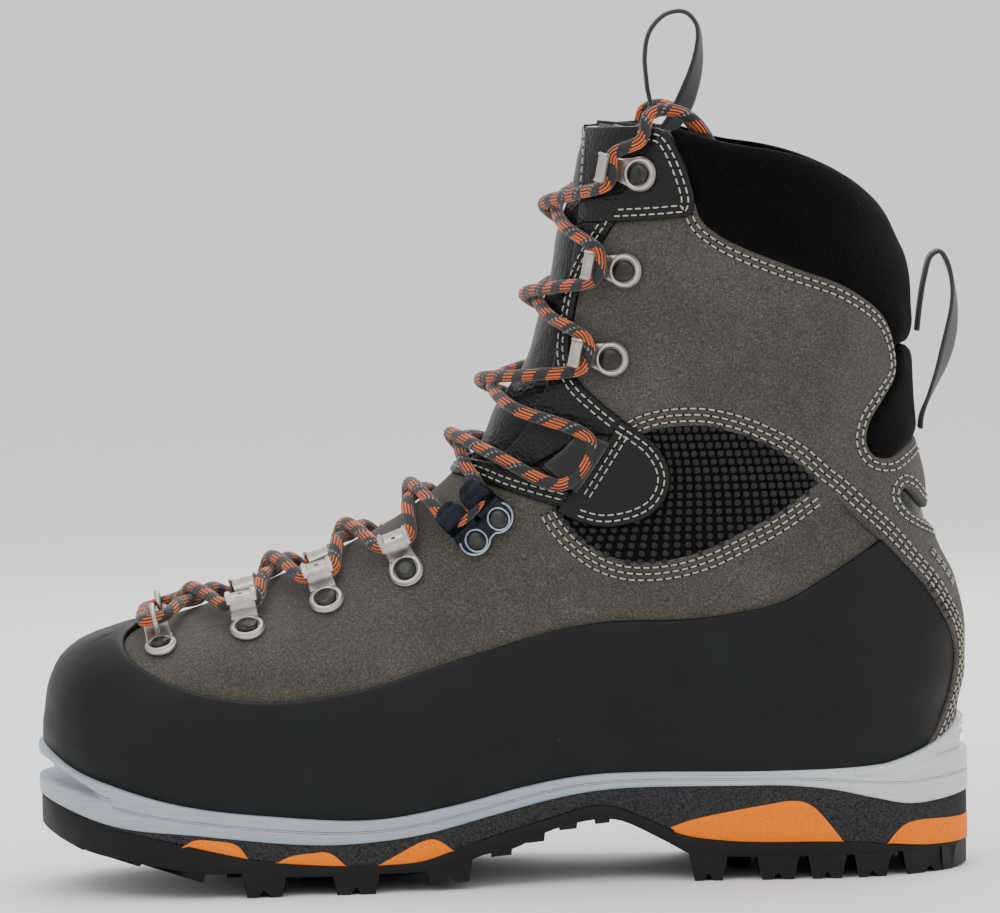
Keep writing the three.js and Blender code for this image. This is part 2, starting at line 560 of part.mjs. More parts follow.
// ---- Lace hardware ----
// Rivets of the folded loops, the locking hook and the open hooks, from the toe up, [x, z].
const [TOE_CLIP] = pattern([[-114, 82.6]]);
const LOOPS = pattern([[-85, 87.5], [-58.5, 96], [-31.5, 105.5]]);
const [LOCK] = pattern([[-4, 119]]);
const HOOKS = pattern([[39, 175.5], [44.2, 205], [50.5, 237]]);
const [KEEPER_SPOT] = pattern([[26.5, 141.5]]);

// The angle round the surface of a place in the side view, on one side of the boot.
function angleOf(x, z, side) {
  const [front, rear] = [frontAt(z), backAt(z)];
  const share = THREE.MathUtils.clamp((x - front) / (rear - front), 0, 1);
  return side * Math.acos(1 - 2 * share);
}

// A frame on the surface: X runs up along the facing, Y points to the lace, Z stands off.
function seat([x, z], side, lean, lift = 0.5) {
  const angle = angleOf(x, z, side);
  const normal = skinNormal(angle, z).negate();
  const up = new THREE.Vector3(Math.cos(lean), 0, Math.sin(lean));
  const toLace = new THREE.Vector3().crossVectors(normal, up).normalize().multiplyScalar(-side);
  const rise = new THREE.Vector3().crossVectors(toLace, normal);
  const origin = skin(angle, z).addScaledVector(normal, lift);
  return new THREE.Matrix4().makeBasis(rise, toLace, normal).setPosition(origin);
}

function rivet(x, y) {
  const head = new THREE.CylinderGeometry(RIVET_RADIUS * 0.8, RIVET_RADIUS, RIVET_HEIGHT, 10);
  return solid(head.rotateX(Math.PI / 2).translate(x, y, PLATE + RIVET_HEIGHT / 2 - 0.05));
}

// A strip of sheet metal: its profile runs along Y and Z, and its width along X.
function folded(profile, width, holes = []) {
  const shape = new THREE.Shape(profile.map(([y, z]) => new THREE.Vector2(y, z)));
  for (const hole of holes) shape.holes.push(new THREE.Path(hole.map(([y, z]) => new THREE.Vector2(y, z))));
  const geometry = new THREE.ExtrudeGeometry(shape, { depth: width, bevelEnabled: false, steps: 1 });
  // Z of the extrusion becomes X, and the shape's axes become Y and Z.
  return solid(geometry.applyMatrix4(new THREE.Matrix4().makeBasis(
    new THREE.Vector3(0, 1, 0), new THREE.Vector3(0, 0, 1), new THREE.Vector3(1, 0, 0),
  )).translate(-width / 2, 0, 0));
}

const arc = (y, z, radius, from, to, count) =>
  Array.from({ length: count + 1 }, (_, i) => {
    const angle = THREE.MathUtils.degToRad(from + ((to - from) * i) / count);
    return [y + radius * Math.cos(angle), z + radius * Math.sin(angle)];
  });

const LACE_REACH = 9; // from a rivet to the lace in its loop or hook
const EYE_WIDTH = 7;
const eyeHeight = PLATE + LOOP_BORE; // centre of the loop above the plate's underside
const ringHeight = TOE_RING + RING_WIRE / 2;

function plate(length, radius) {
  const shape = new THREE.Shape();
  shape.absarc(0, 0, radius, Math.PI, 2 * Math.PI, false);
  shape.lineTo(EYE_WIDTH / 2, length);
  shape.lineTo(-EYE_WIDTH / 2, length);
  const geometry = new THREE.ExtrudeGeometry(shape, { depth: PLATE, bevelEnabled: false,
    curveSegments: 5 });
  return solid(geometry);
}

function loopEyelet() {
  const outer = arc(LACE_REACH, eyeHeight, LOOP_BORE + PLATE, -90, 180, 9);
  const foot = [[LACE_REACH - LOOP_BORE - PLATE, PLATE], [0, PLATE], [0, 0]];
  const hole = arc(LACE_REACH, eyeHeight, LOOP_BORE, 0, 330, 11);
  return folded([...outer, ...foot], EYE_WIDTH, [hole]).add(plate(6, RIVET_RADIUS + 1)).add(rivet(0, 0));
}

function openHook() {
  const outer = arc(LACE_REACH, eyeHeight, LOOP_BORE + PLATE, -90, 120, 7);
  const inner = arc(LACE_REACH, eyeHeight, LOOP_BORE, 120, -90, 7);
  const foot = [[0, PLATE], [0, 0]];
  return folded([...outer, ...inner, ...foot], EYE_WIDTH).add(plate(6, RIVET_RADIUS + 1)).add(rivet(0, 0));
}

function lockHook() {
  const base = new THREE.Shape();
  base.absarc(-4.8, 0, 6, Math.PI / 2, 1.5 * Math.PI, false);
  base.absarc(4.8, 0, 6, -Math.PI / 2, Math.PI / 2, false);
  const sheet = solid(new THREE.ExtrudeGeometry(base, { depth: PLATE, bevelEnabled: false,
    curveSegments: 5 }));
  const shoulder = folded([[4, 0], [LACE_REACH, 0], [LACE_REACH, PLATE], [4, PLATE]], 15);
  const hook = folded(
    [...arc(LACE_REACH, eyeHeight, LOOP_BORE + PLATE, -90, 120, 7), ...arc(LACE_REACH, eyeHeight,
      LOOP_BORE, 120, -90, 7)],
    EYE_WIDTH + 3,
  );
  return sheet.add(shoulder).add(hook).add(rivet(-4.8, 0)).add(rivet(4.8, 0));
}

function toeClip() {
  const body = folded([[-4, 0], [LACE_REACH - 1, 0], [LACE_REACH - 1, PLATE], [-4, PLATE]], 8);
  const ring = new THREE.TorusGeometry(TOE_RING, RING_WIRE, 6, 14).rotateY(Math.PI / 2);
  return body.add(solid(ring.translate(0, LACE_REACH, ringHeight))).add(rivet(0, 0));
}

// Each piece of hardware: its name, finish and solid, its rivet's place and the lean of its edge,
// what it stands on, and how far along its edge the lace goes straight.
const onLeather = LAYER_GAP + 0.4;
const onPatch = LAYER_GAP + OVERLAY + 0.5;
const straight = EYE_WIDTH / 2 + 1.4;
const STATIONS = [
  { name: "toe_clip", finish: "steel", shape: toeClip, spot: TOE_CLIP, lean: 0.3, lift: onLeather,
    run: 3.8 },
  ...LOOPS.map((spot, i) => ({
    name: `loop_eyelet_${i + 1}`, finish: "steel", shape: loopEyelet,
    spot, lean: 0.34, lift: onLeather, run: straight,
  })),
  { name: "lock_hook", finish: "enamel", shape: lockHook, spot: LOCK, lean: 0.75, lift: onLeather,
    run: straight + 1.5 },
  { spot: KEEPER_SPOT, lean: 1.0, lift: OVERLAY + 0.9, run: 9, beneath: LAYER_GAP + OVERLAY, edge: 3.4 },
  ...HOOKS.map((spot, i) => ({
    name: `open_hook_${i + 1}`, finish: "steel", shape: openHook,
    spot, lean: 1.35, lift: i < 2 ? onLeather : onPatch, run: straight, beneath: i ? 0.3 : 1.6,
  })),
];

function hardware() {
  for (const station of STATIONS.filter(({ name }) => name)) {
    for (const [label, side] of SIDES) {
      const made = station.shape();
      const shape = side < 0 ? made : made.mirror([1, 0, 0]);
      add(`${station.name}_${label}`, station.finish, shape, seatOf(station, side));
    }
  }
}

const seatOf = ({ spot, lean, lift }, side) => seat(spot, side, lean, lift);

// Where the lace enters or leaves a station: end is -1 towards the toe and 1 towards the top.
function lacePlace(station, side, end) {
  const keeper = !station.name;
  const ring = station.shape === toeClip;
  const reach = keeper ? 0 : LACE_REACH;
  const height = keeper ? LAYER_GAP + LACE_ROOM : ring ? ringHeight + 0.6 : eyeHeight;
  return new THREE.Vector3(-side * end * station.run, reach, height).applyMatrix4(seatOf(station, side));
}

// The lace between two stations lies on the boot: a point between them is carried out to the
// surface on a ray from inside, and lifted off it.
function overBoot(from, to, share, lift) {
  const point = from.clone().lerp(to, share);
  const shaft = ease(upward(112), upward(150), point.z);
  const core = new THREE.Vector3(
    point.x + THREE.MathUtils.lerp(16, 42, shaft), middle(point.x), point.z - THREE.MathUtils.lerp(42,
      8, shaft),
  );
  const ray = point.clone().sub(core).normalize();
  const inside = (reach) => {
    const { x, y, z } = core.clone().addScaledVector(ray, reach);
    return x > frontAt(z) && Math.abs(y - middle(x)) < halfWidth(x, z);
  };
  let [near, far] = [0, 140];
  for (let i = 0; i < 30; i += 1) {
    const reach = (near + far) / 2;
    if (inside(reach)) near = reach;
    else far = reach;
  }
  return core.addScaledVector(ray, near + lift);
}

// One strand from the toe to the top, which starts at one side and changes side at each crossing.
function strand(start) {
  const points = [];
  STATIONS.forEach((station, i) => {
    const side = start * (-1) ** i;
    const over = side < 0;
    if (i > 0) {
      const [from, to] = [lacePlace(STATIONS[i - 1], -side, 1), lacePlace(station, side, -1)];
      const [leaving, arriving] = [STATIONS[i - 1].edge ?? 0, station.edge ?? 0];
      points.push(overBoot(from, to, 0.25, SHOULDER_LIFT + leaving));
      const beneath = CROSSING_LIFT + (station.beneath ?? 0);
      points.push(overBoot(from, to, 0.5, beneath + (over ? LACE + 2 * GAP : 0)));
      points.push(overBoot(from, to, 0.75, SHOULDER_LIFT + arriving));
    }
    points.push(lacePlace(station, side, -1), lacePlace(station, side, 1));
  });
  const side = start * (-1) ** (STATIONS.length - 1);
  for (const [[x, z], lift] of LACE_END) points.push(onSkin(x, z, side, lift));
  return points;
}

const onSkin = (x, z, side, lift) => {
  const angle = angleOf(x, z, side);
  return skin(angle, z).addScaledVector(skinNormal(angle, z), -lift);
};

// The free ends go over the top edge and down inside the shaft: [x, z] and lift off the leather.
const tucked = liningIn - LACE / 2 - 1.2;
const LACE_END = [
  [pattern([[52.5, 248]])[0], 5.6], [pattern([[54, 256.6]])[0], 1.9], [pattern([[60, 258]])[0], -6],
  [pattern([[70, 250]])[0], tucked], [pattern([[80, 228]])[0], tucked], [pattern([[84, 200]])[0], tucked],
  [pattern([[85, 170]])[0], tucked],
];
const AGLET = [22, 2.4]; // length and radius of the lace's end tube

// A curve that runs straight through its points, with a section at each one.
class Route extends THREE.CatmullRomCurve3 {
  getPointAt(share, target) {
    return this.getPoint(share, target);
  }

  getTangentAt(share, target) {
    return this.getTangent(share, target);
  }
}

function tube(points, radius) {
  const section = new THREE.Shape(arc(0, 0, radius, 0, 315, 7).map(([x, y]) => new THREE.Vector2(x, y)));
  const path = new Route(points);
  return solid(new THREE.ExtrudeGeometry(section, { steps: points.length - 1, bevelEnabled: false,
    extrudePath: path }));
}

function lace() {
  const [near, far] = [strand(-1), strand(1)];
  const front = overBoot(near[0], far[0], 0.5, CROSSING_LIFT + RAND);
  add("lace", "lace", tube([...reversed(near), front, ...far], LACE / 2));
  [near, far].forEach((points, i) => {
    const side = points.at(-1).y < 0 ? "near" : "far";
    const run = points.at(-1).clone().sub(points.at(-2)).normalize();
    const from = points.at(-1).clone().addScaledVector(run, GAP);
    const to = from.clone().addScaledVector(run, AGLET[0]);
    add(`aglet_${side}`, "plastic", tube([from, to], AGLET[1]));
  });
  for (const [name, side] of SIDES) {
    const station = STATIONS.find((one) => !one.name);
    const low = lacePlace(station, side, -1);
    const enters = (point) => point.distanceTo(low) < GAP;
    const points = [near, far].find((one) => one.some(enters));
    const at = points.findIndex(enters);
    const tunnel = tube(points.slice(at - 1, at + 3), LACE_ROOM + 0.5);
    const depth = LAYER_GAP + station.lift + 2 * LACE_ROOM + 1.8;
    const strap = layer(LAYER_GAP, depth).intersect(block(KEEPER, ...oneSide(side)));
    add(`lace_keeper_${name}`, "webbing", strap.subtract(tunnel));
  }
}

// ---- Pull loops ----
const FRONT_LOOP = pattern([
  [38.6, 226], [37.2, 229], [39.7, 238], [45.5, 247], [54, 257], [53.5, 266], [52.8, 276], [55, 285],
    [61, 290.2],
  [68, 290.6], [71.4, 286], [71.1, 277], [68.4, 266], [62.5, 254], [51, 242.5], [43.2, 235], [40.4, 229],
]);
const REAR_LOOP = pattern([
  [142.2, 179.4], [143.8, 189], [145.6, 199], [148, 206.4], [151, 207.6], [153.8, 203], [155.3, 192],
    [154.4, 181],
  [151.4, 170], [147.2, 160], [144, 152.5], [142.8, 147.5],
]);

function pullLoops() {
  const [thickness, width] = WEBBING;
  const reach = [middle(along(50)) - width / 2, middle(along(50)) + width / 2];
  const frontLoop = block(grown(FRONT_LOOP, thickness / 2), ...reach).subtract(block(grown(FRONT_LOOP,
    -thickness / 2), ...reach));
  add("front_pull_loop", "webbing", frontLoop);
  const outside = REAR_LOOP.map(([x, z], i) => {
    const [before, after] = [REAR_LOOP[Math.max(0, i - 1)], REAR_LOOP[Math.min(REAR_LOOP.length - 1,
      i + 1)]];
    const run = new THREE.Vector2(after[0] - before[0], after[1] - before[1]).normalize();
    return [x - run.y * thickness, z + run.x * thickness];
  });
  const heel = middle(along(145));
  add("rear_pull_loop", "webbing", block([...REAR_LOOP, ...reversed(outside)], heel - width / 2,
    heel + width / 2));
}

soleUnit();
outsole();
footwell();
tongue();
outerLeather();
collarAndHeel();
innerLayers();
overlays();
hardware();
lace();
pullLoops();

export default boot;
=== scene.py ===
"""Looks of a lace-up mountaineering boot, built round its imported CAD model.

Lengths in the tables are millimetres and become metres as a mesh is made. The toe points along
-X, the near side is -Y and +Z is up. An outline is drawn in the side view, as [x, z], and is
carried to the surface of the upper or to the wall of the sole on both sides of the boot.
"""

import math

import bmesh
import bpy
import numpy as np
from mathutils import Matrix, Vector, geometry


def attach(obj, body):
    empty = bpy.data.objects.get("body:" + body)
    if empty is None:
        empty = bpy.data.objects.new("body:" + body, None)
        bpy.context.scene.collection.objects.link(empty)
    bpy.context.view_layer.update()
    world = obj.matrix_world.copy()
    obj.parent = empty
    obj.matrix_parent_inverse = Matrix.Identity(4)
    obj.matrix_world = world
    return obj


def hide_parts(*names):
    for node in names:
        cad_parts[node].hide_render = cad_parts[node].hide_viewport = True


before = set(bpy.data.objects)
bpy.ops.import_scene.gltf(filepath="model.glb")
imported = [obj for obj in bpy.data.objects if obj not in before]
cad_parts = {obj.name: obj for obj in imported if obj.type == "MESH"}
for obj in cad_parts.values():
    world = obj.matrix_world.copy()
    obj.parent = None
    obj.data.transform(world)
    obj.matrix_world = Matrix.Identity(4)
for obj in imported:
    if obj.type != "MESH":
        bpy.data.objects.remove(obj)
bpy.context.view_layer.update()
MM = 0.001
NEAR, FAR = -1, 1
BOTH = (NEAR, FAR)
SIDES = ((NEAR, "near"), (FAR, "far"))

# ---- Sizes of the boot, as in its CAD source ----
FOREFOOT_WIDTH, HEEL_WIDTH, CUFF_WIDTH = 100, 76, 84
TOE_SHIFT, CENTRE_SHIFT = 9, 2
FRAME_FLANGE = 5
SUEDE, STIFFENER, LINING = (0.0, -2.2), (-2.7, -3.9), (-4.3, -7.0)  # outer and inner offsets of the layers
HEEL_LEDGE = 2.4  # how far the sole stands out behind the heel
SOLE_LEVEL = 40  # the height at which the upper gives the sole its outline
FRONT = [
    (8, -146), (28, -151), (52, -153.5), (65, -152.5), (75, -149), (81.5, -142), (85.5, -131), (89.5, -116),
    (95.5, -95), (100.6, -81), (111.7, -54), (122.3, -34), (136, -16), (146.6, -7.6), (158, -2), (178, 10),
    (190, 14), (206, 17.7), (236.6, 25.5), (252, 30), (262, 33),
]
BACK = [
    (8, 146), (36, 149), (56, 151.6), (66, 154), (80, 154.3), (96, 151.5), (108, 146), (120, 142.5),
    (140, 141.5), (160, 140), (190, 139.3), (206, 137.5), (222, 133), (240, 126), (262, 116),
]
FOREFOOT = [(8, 0.97), (28, 1), (55, 1), (75, 0.9), (90, 0.74), (105, 0.66), (125, 0.66), (262, 0.7)]
REAR = [(8, 0.94), (50, 1), (80, 1.02), (110, 0.95), (140, 0.96), (180, 1.02), (215, 1.07), (262, 1.13)]
SHAFT = [(8, 0.5), (110, 0.8), (140, 0.82), (180, 0.9), (215, 0.97), (250, 1), (262, 1)]


def smooth(points):
    """A function through [at, value] pairs that never overshoots them."""
    at, value = np.array(points, float).T
    run = np.diff(at)
    secant = np.diff(value) / run
    slope = np.zeros_like(value)
    slope[0], slope[-1] = secant[0], secant[-1]
    a, b = secant[:-1], secant[1:]
    rising = a * b > 0
    slope[1:-1][rising] = 2 * a[rising] * b[rising] / (a[rising] + b[rising])

    def function(x):
        x = np.asarray(x, float)
        i = np.clip(np.searchsorted(at, x) - 1, 0, len(run) - 1)
        t = np.clip((x - at[i]) / run[i], 0, 1)
        t2, t3 = t * t, t * t * t
        return (
            (2 * t3 - 3 * t2 + 1) * value[i]
            + (t3 - 2 * t2 + t) * run[i] * slope[i]
            + (3 * t2 - 2 * t3) * value[i + 1]
            + (t3 - t2) * run[i] * slope[i + 1]
        )

    return function


front_at, back_at = smooth(FRONT), smooth(BACK)
forefoot_share, rear_share, shaft_share = smooth(FOREFOOT), smooth(REAR), smooth(SHAFT)


def ease(a, b, x):
    t = np.clip((np.asarray(x, float) - a) / (b - a), 0, 1)
    return t * t * (3 - 2 * t)


def middle(x):
    """The line that the foot is centred on."""
    return CENTRE_SHIFT - TOE_SHIFT * ease(40, 160, -x) + 3 * ease(-60, 20, x) * (1 - ease(20, 110, x))


def blunt(t, power):
    return np.maximum(0, 1 - np.minimum(1, t) ** power) ** (1 / power)


def half_width(x, z):
    front, back = front_at(z), back_at(z)
    low = np.where(z < 118, 1, 0)
    ball = FOREFOOT_WIDTH / 2 * forefoot_share(z)
    cuff = ease(110, 240, z)
    rear = (HEEL_WIDTH + (CUFF_WIDTH - HEEL_WIDTH) * cuff) / 2 * rear_share(z) * (1 - 0.05 * cuff)
    shaft = CUFF_WIDTH / 2 * shaft_share(z)
    fore = ball + (shaft - ball) * ease(100, 150, z)
    waist = 1 - 0.1 * low * ease(-118, -70, -z) * np.exp(-(((x - 35) / 48) ** 2))
    width = (fore + (rear - fore) * ease(-60, 105, x)) * waist
    vamp = 62 + 26 * ease(70, 92, z)
    nose_length = vamp + (44 - vamp) * ease(95, 140, z)
    tail_length = 46
    nose = np.maximum(0, (front + nose_length - x) / nose_length)
    tail = np.maximum(0, (x - back + tail_length) / tail_length)
    return width * blunt(nose, 2.2) * blunt(tail, 2.3)


def skin(angle, z):
    """A point of the upper: the angle is 0 at the front and pi at the back, and negative on the near side."""
    front, back = front_at(z), back_at(z)
    x = front + (back - front) * (1 - np.cos(angle)) / 2
    y = middle(x) + np.sign(np.sin(angle)) * half_width(x, z)
    return np.stack([x, y, z + 0 * x], -1)


def unit(v):
    return v / np.maximum(np.linalg.norm(v, axis=-1, keepdims=True), 1e-12)


def skin_normal(angle, z):
    across = skin(angle + 0.02, z) - skin(angle - 0.02, z)
    up = skin(angle, z + 0.7) - skin(angle, z - 0.7)
    return -unit(np.cross(across, up))


class Upper:
    """The outer surface of the upper."""

    @staticmethod
    def point(angle, z, offset):
        return skin(angle, z) + skin_normal(angle, z) * np.asarray(offset)[..., None]

    @staticmethod
    def reach(z):
        return front_at(z), back_at(z)


class Wall:
    """The upright wall of the sole."""

    @staticmethod
    def point(angle, z, offset):
        level = np.full(np.shape(angle), float(SOLE_LEVEL))
        normal = skin_normal(angle, level)
        normal[..., 2] = 0
        place = skin(angle, level) + unit(normal) * (FRAME_FLANGE + np.asarray(offset))[..., None]
        place[..., 0] += HEEL_LEDGE * ease(138, 154, place[..., 0])
        place[..., 2] = z
        return place

    @staticmethod
    def reach(z):
        return front_at(SOLE_LEVEL) + 0 * z, back_at(SOLE_LEVEL) + 0 * z


def angle_of(surface, x, z):
    front, back = surface.reach(z)
    return np.arccos(1 - 2 * np.clip((x - front) / (back - front), 0, 1))


def on(surface, points, side, offset):
    """Points of the side view carried to a surface, on one side."""
    x, z = np.array(points, float).T
    return surface.point(side * angle_of(surface, x, z), z, np.full(len(x), float(offset)))


# ---- Outlines ----
def curve(points, step=1.0, closed=False):
    """A smooth line through points of the side view or of space, with a point about every step."""
    p = np.array(points, float)
    if len(p) < 3:
        return spaced(p, step)
    if closed:
        p = np.vstack([p[-1:], p, p[:2]])
    else:
        p = np.vstack([2 * p[0] - p[1], p, 2 * p[-1] - p[-2]])
    found = []
    for a, b, c, d in zip(p, p[1:], p[2:], p[3:]):
        ab, bc, cd = (max(np.linalg.norm(v), 1e-6) ** 0.5 for v in (b - a, c - b, d - c))
        first = (b - a) / ab - (c - a) / (ab + bc) + (c - b) / bc
        last = (c - b) / bc - (d - b) / (bc + cd) + (d - c) / cd
        t = np.linspace(0, 1, max(2, int(np.linalg.norm(c - b) / step) + 1), endpoint=False)[:, None]
        t2, t3 = t * t, t * t * t
        start, end = (2 * t3 - 3 * t2 + 1) * b, (3 * t2 - 2 * t3) * c
        found.append(start + (t3 - 2 * t2 + t) * first * bc + end + (t3 - t2) * last * bc)
    if not closed:
        found.append(p[-2:-1])
    return np.vstack(found)


def spaced(points, step, closed=False):
    """A line's own corners, with points between them about every step."""
    p = np.array(points, float)
    ends = np.roll(p, -1, 0) if closed else p[1:]
    found = []
    for a, b in zip(p, ends):
        count = max(1, int(math.ceil(np.linalg.norm(b - a) / step)))
        found.append(a + (b - a) * np.linspace(0, 1, count, endpoint=False)[:, None])
    if not closed:
        found.append(p[-1:])
    return np.vstack(found)


def region(*lines):
    """One closed outline from lines that follow each other."""
    return spaced(np.vstack([np.array(line, float) for line in lines]), 1.0, closed=True)


def circle(count):
    return np.linspace(0, 2 * math.pi, count, endpoint=False)


def measured(route):
    """The length of a route up to each of its points."""
    return np.concatenate([[0], np.cumsum(np.linalg.norm(np.diff(route, axis=0), axis=1))])


def at(values, length, s):
    """What a route's values are at some lengths along it."""
    return np.stack([np.interp(s, length, values[:, k]) for k in range(3)], -1)


def along(route, step):
    """The lengths along a route every step, with the points and the directions there."""
    length = measured(route)
    s = np.arange(0, length[-1], step)
    centre = at(route, length, s)
    return s, centre, unit(np.gradient(centre, axis=0))


def round_about(turn, first, second):
    """A circle of directions for each pair of axes that stand square to each other."""
    return np.cos(turn)[None, :, None] * first[:, None] + np.sin(turn)[None, :, None] * second[:, None]


def inward_of(outline):
    """The direction into a closed outline at each of its points."""
    ahead = np.roll(outline, -1, 0)
    turn = np.sign(np.sum(outline[:, 0] * ahead[:, 1] - ahead[:, 0] * outline[:, 1]))
    run = unit(ahead - np.roll(outline, 1, 0))
    return turn * np.stack([-run[:, 1], run[:, 0]], -1)


def triangular(low, high, pitch, rise):
    """The points of a triangular grid over a rectangle."""
    return np.array([
        (u + (row % 2) * pitch / 2, v)
        for row, v in enumerate(np.arange(low[1], high[1], pitch * rise))
        for u in np.arange(low[0], high[0], pitch)
    ])


def away(points, corners):
    """Each point's distance to the segments of a line that is given as pairs of corners."""
    best = np.full(len(points), 1e9)
    for a, b in corners:
        run = b - a
        t = np.clip((points - a) @ run / max(run @ run, 1e-12), 0, 1)
        best = np.minimum(best, np.linalg.norm(points - a - t[:, None] * run, axis=1))
    return best


def within(points, outline):
    """Whether each point lies inside a closed outline."""
    inside = np.zeros(len(points), bool)
    for (x0, z0), (x1, z1) in zip(outline, np.roll(outline, -1, 0)):
        crosses = (z0 > points[:, 1]) != (z1 > points[:, 1])
        with np.errstate(divide="ignore", invalid="ignore"):
            inside ^= crosses & (points[:, 0] < (x1 - x0) * (points[:, 1] - z0) / (z1 - z0) + x0)
    return inside


# ---- Materials ----
def linear(code):
    value = [int(code[i : i + 2], 16) / 255 for i in (1, 3, 5)]
    return [v / 12.92 if v <= 0.04045 else ((v + 0.055) / 1.055) ** 2.4 for v in value] + [1.0]


class Nodes:
    """A material's node tree with short calls."""

    def __init__(self, name):
        self.material = bpy.data.materials.new(name)
        self.material.use_nodes = True
        self.tree = self.material.node_tree
        self.shader = self.tree.nodes["Principled BSDF"]
        self.place = self.add("ShaderNodeTexCoord").outputs["Object"]

    def add(self, kind, **settings):
        node = self.tree.nodes.new(kind)
        for key, value in settings.items():
            setattr(node, key, value)
        return node

    def link(self, start, end):
        self.tree.links.new(start, end)

    def stretched(self, scale):
        node = self.add("ShaderNodeMapping")
        node.inputs["Scale"].default_value = scale
        self.link(self.place, node.inputs["Vector"])
        return node.outputs["Vector"]

    def noise(self, scale, detail=3, roughness=0.6, vector=None):
        node = self.add("ShaderNodeTexNoise")
        for socket, value in (("Scale", scale), ("Detail", detail), ("Roughness", roughness)):
            node.inputs[socket].default_value = value
        self.link(vector or self.place, node.inputs["Vector"])
        return node.outputs["Fac"]

    def cells(self, scale, vector=None):
        node = self.add("ShaderNodeTexVoronoi")
        node.inputs["Scale"].default_value = scale
        self.link(vector or self.place, node.inputs["Vector"])
        return node.outputs["Distance"]

    def ramp(self, value, *stops):
        node = self.add("ShaderNodeValToRGB")
        while len(node.color_ramp.elements) < len(stops):
            node.color_ramp.elements.new(0.5)
        for element, (at, color) in zip(node.color_ramp.elements, stops):
            element.position = at
            element.color = linear(color) if isinstance(color, str) else (color, color, color, 1)
        self.link(value, node.inputs["Fac"])
        return node.outputs["Color"]

    def mix(self, share, a, b, kind="MIX"):
        node = self.add("ShaderNodeMix", data_type="RGBA", blend_type=kind)
        for socket, value in ((node.inputs[0], share), (node.inputs[6], a), (node.inputs[7], b)):
            if isinstance(value, bpy.types.NodeSocket):
                self.link(value, socket)
            else:
                socket.default_value = value if socket == node.inputs[0] else linear(value)
        return node.outputs[2]

    def bump(self, *heights):
        """Bumps from (height, distance in metres), one on the other."""
        last = None
        for height, distance in heights:
            node = self.add("ShaderNodeBump")
            node.inputs["Strength"].default_value = 1
            node.inputs["Distance"].default_value = distance
            self.link(height, node.inputs["Height"])
            if last:
                self.link(last, node.inputs["Normal"])
            last = node.outputs["Normal"]
        self.link(last, self.shader.inputs["Normal"])

    def finish(self, color, roughness, **sockets):
        for name, value in (("Base Color", color), ("Roughness", roughness)):
            if isinstance(value, bpy.types.NodeSocket):
                self.link(value, self.shader.inputs[name])
            else:
                self.shader.inputs[name].default_value = linear(value) if isinstance(value, str) else value
        for name, value in sockets.items():
            self.shader.inputs[name.replace("_", " ")].default_value = value
        return self.material


def suede():
    n = Nodes("suede")
    grain = n.noise(1500, 4, 0.8)
    fine = n.ramp(grain, (0.3, "#24221f"), (0.5, "#44413b"), (0.7, "#6c675c"))
    nap = n.ramp(n.noise(38, 5, 0.6), (0.32, 0.4), (0.68, 0.6))
    color = n.mix(0.75, fine, nap, "OVERLAY")
    n.bump((n.noise(60, 4), 0.0008), (grain, 0.0005))
    return n.finish(color, 0.95, Sheen_Weight=0.12, Sheen_Roughness=0.6, Specular_IOR_Level=0.2)


def leather():
    n = Nodes("leather")
    pores = n.cells(750)
    color = n.ramp(n.noise(45, 4), (0.3, "#0a0b0b"), (0.75, "#121413"))
    rough = n.ramp(n.noise(120, 3), (0.3, 0.3), (0.75, 0.46))
    n.bump((n.noise(90, 4), 0.0006), (pores, 0.00025))
    return n.finish(color, rough, Specular_IOR_Level=0.24)


def rubber(name, dark, light, roughness, specks=True):
    n = Nodes(name)
    color = n.ramp(n.noise(24, 4), (0.3, dark), (0.75, light))
    if specks:
        dust = n.ramp(n.cells(130), (0.035, 1.0), (0.06, 0.0))
        rare = n.ramp(n.noise(55, 2), (0.6, 0.0), (0.66, 0.55))
        share = n.mix(1.0, dust, rare, "MULTIPLY")
        color = n.mix(share, color, "#7d8284")
    rough = n.ramp(n.noise(60, 5), (0.3, roughness - 0.07), (0.75, roughness + 0.09))
    n.bump((n.noise(1400, 2), 0.00012), (n.noise(30, 3), 0.0005))
    return n.finish(color, rough, Specular_IOR_Level=0.24)


def foam(name, dark, light, roughness=0.8):
    n = Nodes(name)
    grain = n.noise(1500, 3, 0.7)
    n.bump((grain, 0.0003))
    return n.finish(n.ramp(grain, (0.36, dark), (0.66, light)), roughness, Specular_IOR_Level=0.1)


def frame_plastic():
    n = Nodes("frame_plastic")
    # The frame is painted lighter towards the heel. This is mostly a painted highlight for the light that falls on
    # the heel, over the frame's own blue-grey.
    split = n.add("ShaderNodeSeparateXYZ")
    n.link(n.place, split.inputs["Vector"])
    heel_highlight_share = n.add("ShaderNodeMapRange")
    heel_highlight_share.inputs["From Min"].default_value = 0.02
    heel_highlight_share.inputs["From Max"].default_value = 0.13
    n.link(split.outputs["X"], heel_highlight_share.inputs["Value"])
    streaks = n.noise(260, 3, 0.6, n.stretched((0.2, 0.2, 4)))
    fore = n.ramp(streaks, (0.3, "#8c97a2"), (0.72, "#9ea8b1"))
    heel = n.ramp(streaks, (0.3, "#b7bcc0"), (0.72, "#cbced0"))
    color = n.mix(heel_highlight_share.outputs["Result"], fore, heel)
    n.bump((streaks, 0.0001), (n.noise(900, 2), 0.00005))
    return n.finish(color, n.ramp(streaks, (0.3, 0.3), (0.7, 0.46)), Specular_IOR_Level=0.6)


def cloth(name, dark, light, scale=1400, sheen=0.4, depth=0.0004):
    n = Nodes(name)
    knit = n.cells(scale)
    nap = n.noise(scale * 0.6, 3, 0.7)
    n.bump((n.noise(70, 3), 0.0006), (knit, depth), (nap, depth))
    color = n.ramp(nap, (0.35, dark), (0.7, light))
    return n.finish(color, 0.95, Sheen_Weight=sheen, Sheen_Roughness=0.5, Specular_IOR_Level=0.08)


